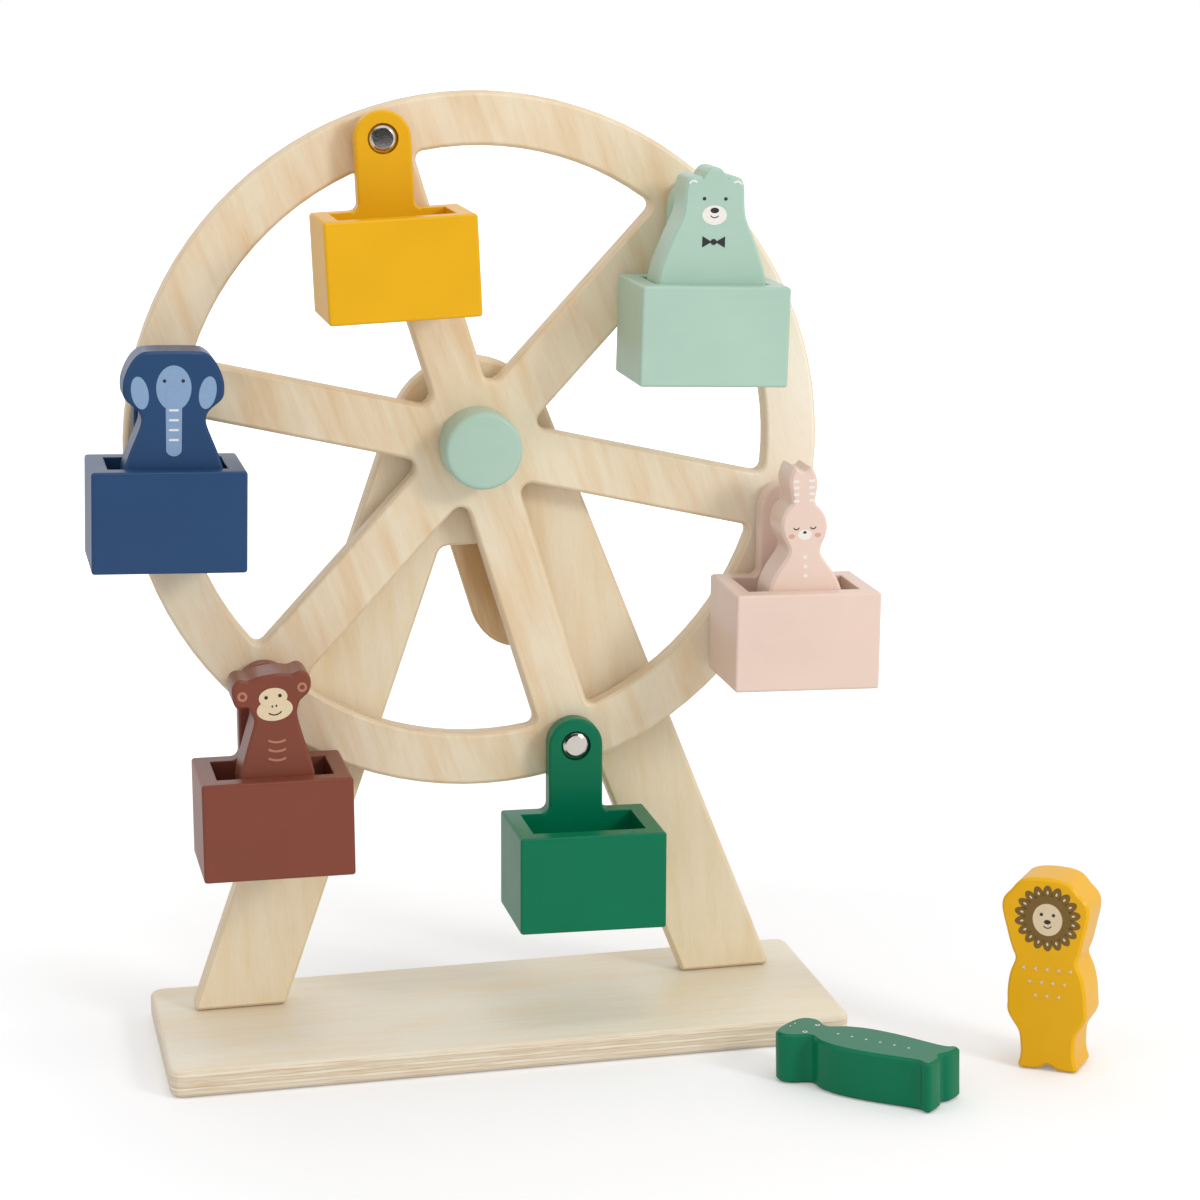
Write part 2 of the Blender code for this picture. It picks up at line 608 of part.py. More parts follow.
def make_hanger(paint, bucket):
    """The hanger board, with a stepped hole that the bolt's head sinks into."""
    recess = hole((0, 0), BOLT_HEAD_RADIUS + BOLT_HEAD_ROOM)
    seat = BOLT_HEAD_BACK_Y + SEAT_GAP
    bore = straight(recess, HANGER_FRONT_Y, seat)
    bore += straight(hole((0, 0), BOLT_BORE), seat, HANGER_BACK_Y)
    rim = softened(hanger_outline(), HANGER_FRONT_Y, HANGER_BACK_Y, BUCKET_EDGE)
    piece(f"hanger_{paint}", board(upright, rim, bore), paint, parent=bucket)


def raise_faces(bm, faces, height):
    """Extrudes the faces straight up, or down where the height is negative."""
    region = bmesh.ops.extrude_face_region(bm, geom=faces)["geom"]
    verts = [item for item in region if isinstance(item, bmesh.types.BMVert)]
    bmesh.ops.translate(bm, verts=verts, vec=(0, 0, height))


def make_box(paint, bucket):
    """The bucket's floor, ends and front as one tray, which the hanger closes behind."""
    corners = [
        (-BUCKET_HALF_WIDTH, BOX_BACK_Y, 0.0),
        (-BUCKET_HALF_WIDTH, BUCKET_FRONT_Y, BUCKET_CORNER_RADIUS),
        (BUCKET_HALF_WIDTH, BUCKET_FRONT_Y, BUCKET_CORNER_RADIUS),
        (BUCKET_HALF_WIDTH, BOX_BACK_Y, 0.0),
    ]
    hollow = [Vector((side * CAVITY_HALF_WIDTH, y)) for side, y in (
        (1, BOX_BACK_Y), (1, CAVITY_FRONT_Y), (-1, CAVITY_FRONT_Y), (-1, BOX_BACK_Y))]
    bm = bmesh.new()
    verts = [bm.verts.new(lying(x, y, BED)) for x, y in rounded_outline(corners) + hollow]
    walls = bm.faces.new(verts)
    bed = bm.faces.new(verts[:-5:-1])
    raise_faces(bm, [walls, bed], -BOX_FLOOR)
    raise_faces(bm, [walls], BOX_TOP - BED)
    bmesh.ops.delete(bm, geom=[walls], context="FACES_ONLY")
    bmesh.ops.recalc_face_normals(bm, faces=bm.faces)
    soften_box(bm)
    piece(f"box_{paint}", bm, paint, parent=bucket)


def soften_box(bm):
    """Takes off the tray's outer edges at its rim and its bottom."""
    def outside(vert):
        past_end = abs(vert.co.x) > BUCKET_HALF_WIDTH - END_WALL / 2
        return past_end or vert.co.y < BUCKET_FRONT_Y + FRONT_WALL / 2

    def at_height(edge, height):
        return all(abs(vert.co.z - height) < SEAT_GAP for vert in edge.verts)

    edges = [edge for edge in bm.edges if all(outside(vert) for vert in edge.verts)
             and (at_height(edge, BOX_TOP) or at_height(edge, BOX_BOTTOM))]
    bmesh.ops.bevel(
        bm, geom=edges, offset=BUCKET_EDGE, segments=1, profile=0.5, affect="EDGES", material=-1,
    )


def make_figure(name, paint, half_outline, lean=0.0, slant=0.0, **placing):
    """A figure sawn from thick board, with its sole at its origin's height."""
    half = FIGURE_THICKNESS / 2
    rim = softened(figure_outline(half_outline, lean, slant), -half, half, FIGURE_EDGE)
    piece(f"figure_{name}", board(upright, rim), paint, **placing)


def make_seated_figures(buckets):
    depth, height = FIGURE_FRONT_Y + FIGURE_THICKNESS / 2, BED + SEAT_GAP
    for name, (paint, half_outline, step, lean) in SEATED.items():
        make_figure(name, paint, half_outline, lean, parent=buckets[paint], place=(step, depth, height))


def make_loose_figures():
    """The lion stands on the floor, and the crocodile lies on its back there."""
    upright_turn = (0.0, 0.0, LION_TURN)
    make_figure("lion", "yellow", LION, slant=LION_SLANT, place=LION_PLACE, turn=upright_turn)
    flat = CROCODILE_PLACE + Vector((0.0, 0.0, FIGURE_THICKNESS / 2))
    make_figure("crocodile", "green", CROCODILE, place=flat, turn=(-math.pi / 2, 0.0, CROCODILE_TURN))


def main():
    clear_scene()
    hub = joint_point("hub", (0.0, 0.0, HUB_Z))
    make_base()
    make_stand(hub)
    make_screws()
    make_wheel(hub)
    make_axle(hub)
    make_hub_cap(hub)
    make_crank(hub)
    buckets = {}
    for i, (paint, tilt) in enumerate(BUCKETS.items()):
        spot = upright(*bolt_spot(i), 0.0)
        make_bolt(paint, joint_point(f"bolt_axis_{paint}", spot, parent=hub))
        buckets[paint] = joint_point(f"bucket_{paint}", spot, tilt, parent=hub)
        make_hanger(paint, buckets[paint])
        make_box(paint, buckets[paint])
    make_seated_figures(buckets)
    make_loose_figures()


main()
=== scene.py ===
"""A wooden ferris wheel toy: lacquered buckets and figures on birch plywood boards.

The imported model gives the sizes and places. This file rounds its boards and figures, builds the
buckets and turned pieces anew, prints the figures, and sets the materials, the light and the camera.
"""

import json
import math

import bmesh
import bpy
from mathutils import Euler, Matrix, Vector


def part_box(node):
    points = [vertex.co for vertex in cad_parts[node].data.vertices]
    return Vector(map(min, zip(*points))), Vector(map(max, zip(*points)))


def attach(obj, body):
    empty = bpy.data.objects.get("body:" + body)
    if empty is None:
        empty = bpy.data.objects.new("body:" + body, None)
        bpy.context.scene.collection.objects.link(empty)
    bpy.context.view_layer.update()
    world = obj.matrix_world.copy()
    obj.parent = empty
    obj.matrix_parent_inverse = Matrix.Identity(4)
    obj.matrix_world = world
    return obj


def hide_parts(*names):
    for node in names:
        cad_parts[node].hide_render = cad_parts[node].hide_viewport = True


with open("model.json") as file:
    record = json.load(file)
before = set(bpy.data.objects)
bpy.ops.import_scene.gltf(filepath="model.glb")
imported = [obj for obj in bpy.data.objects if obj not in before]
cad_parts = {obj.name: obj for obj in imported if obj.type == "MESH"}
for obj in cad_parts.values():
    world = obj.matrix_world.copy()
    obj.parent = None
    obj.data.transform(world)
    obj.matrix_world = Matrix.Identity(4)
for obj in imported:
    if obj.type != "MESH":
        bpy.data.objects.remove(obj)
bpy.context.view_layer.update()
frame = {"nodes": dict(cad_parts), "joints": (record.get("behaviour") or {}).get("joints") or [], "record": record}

bl_info = {
    "name": "Wooden Ferris Wheel Toy",
    "version": (1, 0, 0),
    "blender": (4, 5, 0),
    "location": "3D View > Sidebar > Ferris Wheel",
    "description": "Finishes the boards, buckets, bolts and figures of a wooden ferris wheel toy",
    "category": "Object",
}

PAINTS = ("yellow", "mint", "pink", "green", "brown", "blue")
SEATS = {"elephant": "blue", "bear": "mint", "rabbit": "pink", "monkey": "brown"}
FIGURE_PAINTS = {**SEATS, "lion": "yellow", "crocodile": "green"}
BOLT_POINTS = {j["name"]: Vector(j["pos_m"]) for j in frame["joints"] if "pos_m" in j}
MM = 0.001
# Two places that lie nearer than this are one
NEAR = 1e-6

# How the lion's outline slants for its height, how the rabbit leans in its bucket and about which
# height, and how thick a figure is, both in millimetres
LION_SLANT = -0.017
RABBIT_LEAN = math.radians(2.3)
RABBIT_PIVOT = 54.0
FIGURE_DEPTH = 22.0


def linear(code):
    """The linear colour of an sRGB hex value."""
    parts = [int(code[i:i + 2], 16) / 255 for i in (1, 3, 5)]
    return [p / 12.92 if p <= 0.04045 else ((p + 0.055) / 1.055) ** 2.4 for p in parts]


def colour_property(name, description, code):
    return bpy.props.FloatVectorProperty(
        name=name, description=description, default=linear(code), subtype="COLOR", size=3,
        min=0.0, max=1.0,
    )


def length_property(name, description, default):
    return bpy.props.FloatProperty(
        name=name, description=description, default=default, min=0.0, subtype="DISTANCE",
        unit="LENGTH", precision=5,
    )


class FerrisColours(bpy.types.PropertyGroup):
    """Colours of the wood, the lacquers, the metal and the printing inks."""
    yellow: colour_property("Yellow", "Lacquer of the yellow bucket and the lion", "#ECB114")
    mint: colour_property("Mint", "Lacquer of the mint bucket, the bear, the hub cap and the grip", "#AFCBBA")
    pink: colour_property("Pink", "Lacquer of the pink bucket and the rabbit", "#E8CEBF")
    green: colour_property("Green", "Lacquer of the green bucket and the crocodile", "#00734F")
    brown: colour_property("Brown", "Lacquer of the brown bucket and the monkey", "#824737")
    blue: colour_property("Blue", "Lacquer of the blue bucket and the elephant", "#2B4A72")
    birch: colour_property("Birch", "Face of the plywood", "#F0E0C3")
    birch_warm: colour_property("Warm birch", "Darker clouds in the plywood's face", "#E8CBA3")
    birch_soft: colour_property("Soft birch", "Faint clouds in the stand's face", "#EBD6AF")
    # Browner birch for the crank arm, darkened further as painted shade for where it sits behind the stand; the
    # plies' edges borrow it for their darker fibres.
    dark_birch_and_shade: colour_property("Crank birch", "Face of the crank arm", "#CCA571")
    birch_pale: colour_property("Pale birch", "Face of the base board", "#F0E7D3")
    # The wheel's face is made paler towards its right; what makes it paler there is not known.
    birch_light: colour_property("Light birch", "Paler veneer at the wheel's right", "#FBF1DF")
    ply_edge: colour_property("Ply edge", "End grain and glue in the plywood's edge", "#B48E5E")
    steel: colour_property("Nickel", "Plated bolts, nuts and screws", "#DED8D0")
    nylon: colour_property("Nylon", "Washers and spacers", "#DAD8D0")
    ink_white: colour_property("White ink", "Pale marks on the figures", "#EFE9E2")
    ink_dark: colour_property("Dark ink", "Eyes and noses", "#2B2A2C")
    ink_sky: colour_property("Sky ink", "Pale blue marks on the elephant", "#86A3C6")
    ink_tan: colour_property("Tan ink", "Light brown marks on the monkey", "#B4785E")
    ink_cream: colour_property("Cream ink", "The monkey's and the lion's face", "#E3CDA9")
    ink_mane: colour_property("Mane ink", "The lion's mane", "#7A5B1C")
    ink_rose: colour_property("Rose ink", "The rabbit's cheeks", "#DBA594")


class FerrisSizes(bpy.types.PropertyGroup):
    """Sizes of the finished pieces."""
    board_round: length_property("Board rounding", "Rounding between a board's face and edge", 0.0006)
    figure_round: length_property("Figure rounding", "Rounding between a figure's face and side", 0.0005)
    bucket_round: length_property("Bucket rounding", "Radius of a bucket's outer edges", 0.0013)
    mouth_round: length_property("Mouth rounding", "Radius of the edges round a bucket's hollow", 0.0003)
    arm_width: length_property("Arm width", "Width of a bucket's arm", 0.0245)
    arm_fillet: length_property("Arm fillet", "Radius between a bucket's arm and its shoulders", 0.0035)
    end_wall: length_property("End wall", "Thickness of a bucket's two ends", 0.0075)
    front_wall: length_property("Front wall", "Thickness of a bucket's front", 0.009)
    bucket_floor: length_property("Bucket floor", "Thickness of a bucket's floor", 0.006)
    ink_depth: length_property("Ink depth", "Thickness of one printed layer", 0.00007)
    lion_turn: bpy.props.FloatProperty(
        name="Lion turn", description="How far the lion is turned on the floor",
        default=math.radians(-34.5), subtype="ANGLE", unit="ROTATION",
    )
    crocodile_turn: bpy.props.FloatProperty(
        name="Crocodile turn", description="How far the crocodile is turned on the floor",
        default=math.radians(43.5), subtype="ANGLE", unit="ROTATION",
    )


class FerrisStage(bpy.types.PropertyGroup):
    """The camera and the light."""
    lens: bpy.props.FloatProperty(
        name="Lens", description="Focal length of the camera", default=103.73, min=1.0,
        subtype="DISTANCE_CAMERA", unit="CAMERA",
    )
    camera_place: bpy.props.FloatVectorProperty(
        name="Camera place", description="Where the camera stands",
        default=(-0.24285, -1.48648, 0.51342), subtype="TRANSLATION", unit="LENGTH",
    )
    camera_turn: bpy.props.FloatVectorProperty(
        name="Camera turn", description="Heading, tilt and roll of the camera",
        default=(-0.1953, -0.1979, -0.0209), subtype="EULER", unit="ROTATION",
    )
    key_power: bpy.props.FloatProperty(
        name="Key light", description="Power of the soft box on the right", default=15.0, min=0.0,
        subtype="POWER", unit="POWER",
    )
    top_power: bpy.props.FloatProperty(
        name="Top light", description="Power of the soft box overhead", default=3.0, min=0.0,
        subtype="POWER", unit="POWER",
    )
    ambient: bpy.props.FloatProperty(
        name="Ambient", description="Strength of the light from all round", default=0.8, min=0.0,
        subtype="FACTOR",
    )


def colours():
    return bpy.context.scene.ferris_colours


def sizes():
    return bpy.context.scene.ferris_sizes


def feed(tree, node, inputs):
    """Gives a node's inputs a value or a link each."""
    for key, value in inputs.items():
        if isinstance(value, bpy.types.NodeSocket):
            tree.links.new(value, node.inputs[key])
        else:
            node.inputs[key].default_value = value
    return node


def add(tree, kind, inputs, output=0, **fields):
    """Adds a node with its own fields, feeds it, and returns one of its outputs."""
    node = tree.nodes.new(kind)
    for field, value in fields.items():
        setattr(node, field, value)
    return feed(tree, node, inputs).outputs[output]


def coordinate(tree, name="Object"):
    return add(tree, "ShaderNodeTexCoord", {}, name)


def noise(tree, place, size, detail=2.0, roughness=0.5, distortion=0.0):
    """Noise with spots of this size in metres: one length, or one each along X, Y and Z."""
    lengths = size if isinstance(size, tuple) else (size, size, size)
    scale = [1 / length for length in lengths]
    place = add(tree, "ShaderNodeVectorMath", {0: place, 1: scale}, operation="MULTIPLY")
    return add(tree, "ShaderNodeTexNoise", {"Vector": place, "Scale": 1.0, "Detail": detail,
                                            "Roughness": roughness, "Distortion": distortion}, "Fac")


def remap(tree, value, start, end):
    """Brings a value from the start's two limits to the end's."""
    return add(tree, "ShaderNodeMapRange", {"Value": value, "From Min": start[0], "From Max": start[1],
                                            "To Min": end[0], "To Max": end[1]})


def maths(tree, operation, first, second=0.0):
    return add(tree, "ShaderNodeMath", {0: first, 1: second}, operation=operation)


def scaled(tree, colour, factor):
    return add(tree, "ShaderNodeVectorMath", {0: colour, "Scale": factor}, operation="SCALE")


def blend(tree, share, *pair):
    first, second = (c if isinstance(c, bpy.types.NodeSocket) else (*c, 1.0) for c in pair)
    return add(tree, "ShaderNodeMix", {"Factor": share, "A": first, "B": second}, "Result",
               data_type="RGBA")


def relief(tree, height, strength, depth):
    return add(tree, "ShaderNodeBump", {"Height": height, "Strength": strength, "Distance": depth})


def material_of(name, build, *values):
    """The material of this name, built the first time that it is asked for."""
    if name not in bpy.data.materials:
        material = bpy.data.materials.new(name)
        material.use_nodes = True
        tree = material.node_tree
        build(tree, tree.nodes["Principled BSDF"], *values)
    return bpy.data.materials[name]


def lacquered_wood(tree, shader, colour):
    """Solid beech under two coats of sprayed water-based lacquer, satin: an even colour with a very
    soft sheen, the faint lines of the wood beneath, and a fine orange peel of about 1.5 mm."""
    place = coordinate(tree)
    peel = noise(tree, place, 0.0015)
    grain = noise(tree, place, (0.03, 0.03, 0.0009), 3.0)
    cloud = noise(tree, place, 0.03)
    tone = maths(tree, "MULTIPLY", remap(tree, cloud, (0.3, 0.7), (0.97, 1.03)),
                 remap(tree, grain, (0.35, 0.65), (0.994, 1.005)))
    feed(tree, shader, {
        "Base Color": scaled(tree, colour, tone),
        "Roughness": remap(tree, cloud, (0.0, 1.0), (0.26, 0.34)),
        "Normal": relief(tree, maths(tree, "ADD", peel, grain), 0.25, 0.00004),
        "Specular IOR Level": 0.19,
    })


# The plies in a board's edge from its near face to its far one: the share of the thickness, and
# how far the pale wood there turns to the dark of end grain and glue
PLIES = ((0.0, 1.0), (0.03, 1.0), (0.06, 0.25), (0.095, 0.2), (0.11, 0.6), (0.13, 0.2), (0.25, 0.25),
         (0.265, 0.55), (0.285, 0.05), (0.36, 0.0), (0.375, 0.6), (0.40, 0.3), (0.50, 0.2),
         (0.515, 0.65), (0.535, 0.0), (0.61, 0.0), (0.63, 0.5), (0.655, 0.25), (0.76, 0.3),
         (0.78, 0.6), (0.80, 0.05), (0.885, 0.05), (0.90, 0.5), (0.92, 0.1), (1.0, 0.05))


def birch_plywood(tree, shader, face, warm, turn, start, thickness, light=None):
    """Clear-lacquered birch plywood: a pale, nearly even face with soft warm clouds, streaks of 6 mm
    and short pores along the grain, and thin plies of pale long grain and darker end grain in its
    edges. turn brings the grain to X and the board's thickness to Z, start is its near face. light
    is the colour that the face turns to towards the board's right."""
    palette = colours()
    place, facing = (add(tree, "ShaderNodeMapping", {"Vector": coordinate(tree, name), "Rotation": turn})
                     for name in ("Object", "Normal"))
    streak = noise(tree, place, (0.05, 0.006, 0.01), 3.0, 0.5, 0.3)
    cloud = noise(tree, place, (0.055, 0.026, 0.03))
    pore = noise(tree, place, (0.006, 0.0005, 0.001), 2.0, 0.6)
    warmth = remap(tree, maths(tree, "ADD", streak, cloud), (0.88, 1.3), (0.0, 1.0))
    sheet = blend(tree, warmth, face, warm)
    if light:
        across = add(tree, "ShaderNodeSeparateXYZ", {0: coordinate(tree)}, "X")
        # The face grows paler towards the board's right, by its X alone.
        sheet = blend(tree, remap(tree, across, (0.085, 0.15), (0.0, 0.8)), sheet, light)
    sheet = scaled(tree, sheet, remap(tree, pore, (0.28, 0.52), (0.945, 1.0)))
    deep = maths(tree, "ADD", add(tree, "ShaderNodeSeparateXYZ", {0: place}, "Z"),
                 remap(tree, streak, (0.0, 1.0), (-0.0002, 0.0002)))
    level = remap(tree, deep, (start, start + thickness), (0.0, 1.0))
    plies = add(tree, "ShaderNodeValToRGB", {"Fac": level}, "Color")
    ramp = plies.node.color_ramp.elements
    for share, dark in PLIES:
        ramp.new(share).color = (dark, dark, dark, 1.0)
    ramp.remove(ramp[0])
    ramp.remove(ramp[-1])
    edge = blend(tree, plies, face, palette.ply_edge)
    fibre = noise(tree, place, (0.018, 0.018, 0.0006), 3.0, 0.6)
    edge = blend(tree, remap(tree, fibre, (0.46, 0.72), (0.0, 0.7)), edge, palette.dark_birch_and_shade)
    flat = maths(tree, "ABSOLUTE", add(tree, "ShaderNodeSeparateXYZ", {0: facing}, "Z"))
    feed(tree, shader, {
        "Base Color": blend(tree, remap(tree, flat, (0.55, 0.85), (0.0, 1.0)), edge, sheet),
        "Roughness": remap(tree, streak, (0.0, 1.0), (0.38, 0.52)),
        "Normal": relief(tree, pore, 0.2, 0.00005),
        "IOR": 1.48,
    })


def nickel_plate(tree, shader):
    """Steel with bright nickel plating, tumbled: a clear mirror softened by fine scuffs of 0.8 mm."""
    scuff = noise(tree, coordinate(tree), 0.0008, 4.0, 0.65)
    feed(tree, shader, {
        "Base Color": (*colours().steel, 1.0),
        "Metallic": 1.0,
        "Roughness": remap(tree, scuff, (0.3, 0.7), (0.13, 0.28)),
        "Normal": relief(tree, scuff, 0.4, 0.00006),
    })


def moulded_nylon(tree, shader):
    """Natural nylon, injection moulded: milky and matt, with a spark-eroded skin of 0.6 mm."""
    skin = noise(tree, coordinate(tree), 0.0006)
    feed(tree, shader, {
        "Base Color": scaled(tree, colours().nylon, remap(tree, skin, (0.0, 1.0), (0.95, 1.05))),
        "Normal": relief(tree, skin, 0.3, 0.00004),
        "Roughness": 0.5,
        "IOR": 1.53,
    })


def printing_ink(tree, shader, colour):
    """Pad-printing ink on lacquer: flat and a little duller than the paint around it."""
    film = noise(tree, coordinate(tree), 0.0007, 3.0)
    tone = remap(tree, film, (0.3, 0.7), (0.94, 1.04))
    feed(tree, shader, {"Base Color": scaled(tree, colour, tone), "Roughness": 0.5})


def white_paper(tree, shader):
    """Matt white paper with a faint fibre of 4 mm. A glow that only the camera sees paints light on it
    and on the shadows cast on it: faint near the figures, and growing to pure white away from them.
    """
    place = coordinate(tree)
    tone = remap(tree, noise(tree, place, 0.004, 3.0), (0.0, 1.0), (0.995, 1.005))
    apart = add(tree, "ShaderNodeVectorMath", {0: place, 1: (0.14, -0.08, 0.0)}, "Value",
                operation="DISTANCE")
    seen = add(tree, "ShaderNodeLightPath", {}, "Is Camera Ray")
    feed(tree, shader, {
        "Base Color": scaled(tree, linear("#EBEBEC"), tone),
        "Roughness": 0.9,
        "Emission Color": (1.0, 1.0, 1.0, 1.0),
        # Painted light: a camera-only glow on the floor, which also lightens the shadows on it.
        "Emission Strength": maths(tree, "MULTIPLY", seen, remap(tree, apart, (0.25, 1.2), (0.2, 0.75))),
    })


def black_felt(tree, shader):
    """Black felt, which gives the eye nothing but its own dark."""
    feed(tree, shader, {"Base Color": (0.0, 0.0, 0.0, 1.0), "Specular IOR Level": 0.0, "Roughness": 1.0})


def paint_of(name):
    return material_of(f"lacquered_wood_{name}", lacquered_wood, getattr(colours(), name))


def nickel():
    return material_of("nickel_plated_steel", nickel_plate)


def merged_copy(node):
    """The mesh of a node of the model, with its loose triangles joined."""
    bm = bmesh.new()
    bm.from_mesh(frame["nodes"][node].data)
    bmesh.ops.remove_doubles(bm, verts=bm.verts, dist=2e-6)
    return bm


def body_of(node):
    return next(name for name, members in frame["record"]["behaviour"]["bodies"].items()
                if node in members)


def show(name, bm, material, body, slot, *nodes):
    """Makes the finished mesh an object that rides on its body and stands for its nodes."""
    mesh = bpy.data.meshes.new(name)
    bm.to_mesh(mesh)
    bm.free()
    return show_mesh(name, mesh, material, body, slot, *nodes)


def show_mesh(name, mesh, material, body, slot, *nodes):
    mesh.shade_smooth()
    mesh.set_sharp_from_angle(angle=math.radians(40))
    mesh.materials.clear()
    mesh.materials.append(material)
    piece = bpy.data.objects.new(name, mesh)
    bpy.context.scene.collection.objects.link(piece)
    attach(piece, body)
    if nodes:
        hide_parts(*nodes)
    return piece


def even_shading(piece):
    """Keeps large flat faces flat beside their rounded edges."""
    weights = piece.modifiers.new("even shading", "WEIGHTED_NORMAL")
    weights.weight = 100
    weights.keep_sharp = True


def turned(profile, centre, steps=64):
    """A solid turned about Y at the centre from (radius, y) points."""
    bm = bmesh.new()
    verts = [bm.verts.new((radius, y, 0.0)) for radius, y in profile]
    edges = [bm.edges.new(pair) for pair in zip(verts, verts[1:])]
    bmesh.ops.spin(bm, geom=verts + edges, cent=(0, 0, 0), axis=(0, 1, 0), angle=2 * math.pi,
                   steps=steps, use_merge=True)
    bmesh.ops.remove_doubles(bm, verts=bm.verts, dist=NEAR)
    bmesh.ops.recalc_face_normals(bm, faces=bm.faces)
    bmesh.ops.translate(bm, verts=bm.verts, vec=centre)
    return bm


def rounded_profile(corners, radius, steps=4):
    """(radius, y) points with each inner corner of the profile rounded."""
    points = [Vector(corners[0])]
    for before, corner, after in zip(corners, corners[1:], corners[2:]):
        corner = Vector(corner)
        back = (Vector(before) - corner).normalized()
        ahead = (Vector(after) - corner).normalized()
        half = back.angle(ahead) / 2
        centre = corner + (back + ahead).normalized() * radius / math.sin(half)
        first = corner + back * radius / math.tan(half) - centre
        last = corner + ahead * radius / math.tan(half) - centre
        points += [centre + radius * first.slerp(last, k / steps) for k in range(steps + 1)]
    return points + [Vector(corners[-1])]


class FerrisBoards(bpy.types.Operator):
    """Rounds the edges of the base, the stand, the wheel and the crank, and gives them plywood"""
    bl_idname = "ferris.boards"
    bl_label = "Plywood Boards"

    def execute(self, context):
        palette = colours()
        low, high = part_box("base_board")
        finishes = {
            "base_board": material_of("birch_plywood_base", birch_plywood, palette.birch_pale,
                                      palette.birch, (0.0, 0.0, math.radians(2)), low.z, high.z - low.z),
            "stand_frame": self.upright("stand_frame", 94, palette.birch, palette.birch_soft),
            "wheel_disc": self.upright("wheel_disc", 108, palette.birch, palette.birch_warm,
                                       palette.birch_light),
            # The crank's face colour is part browner wood and part painted shade.
            "crank_arm": self.upright("crank_arm", 104, palette.dark_birch_and_shade, palette.birch_warm),
        }
        for node, material in finishes.items():
            bm = merged_copy(node)
            bmesh.ops.dissolve_limit(bm, angle_limit=math.radians(0.5), verts=bm.verts,
                                     edges=bm.edges)
            sharp = [e for e in bm.edges if e.is_manifold
                     and math.radians(30) < e.calc_face_angle() < math.radians(60)]
            bmesh.ops.bevel(bm, geom=sharp, offset=sizes().board_round, segments=2, profile=0.5,
                            affect="EDGES", clamp_overlap=True, material=-1)
            piece = show(f"{node}_finished", bm, material, body_of(node), "ply", node)
            even_shading(piece)
        return {"FINISHED"}

    def upright(self, node, degrees, face, warm, light=None):
        """Plywood of a board that faces the front, with its grain at this angle from level."""
        low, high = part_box(node)
        turn = (-math.pi / 2, 0.0, -math.radians(degrees))
        return material_of(f"birch_plywood_{node.split('_')[0]}", birch_plywood, face, warm, turn,
                           -high.y, high.y - low.y, light)


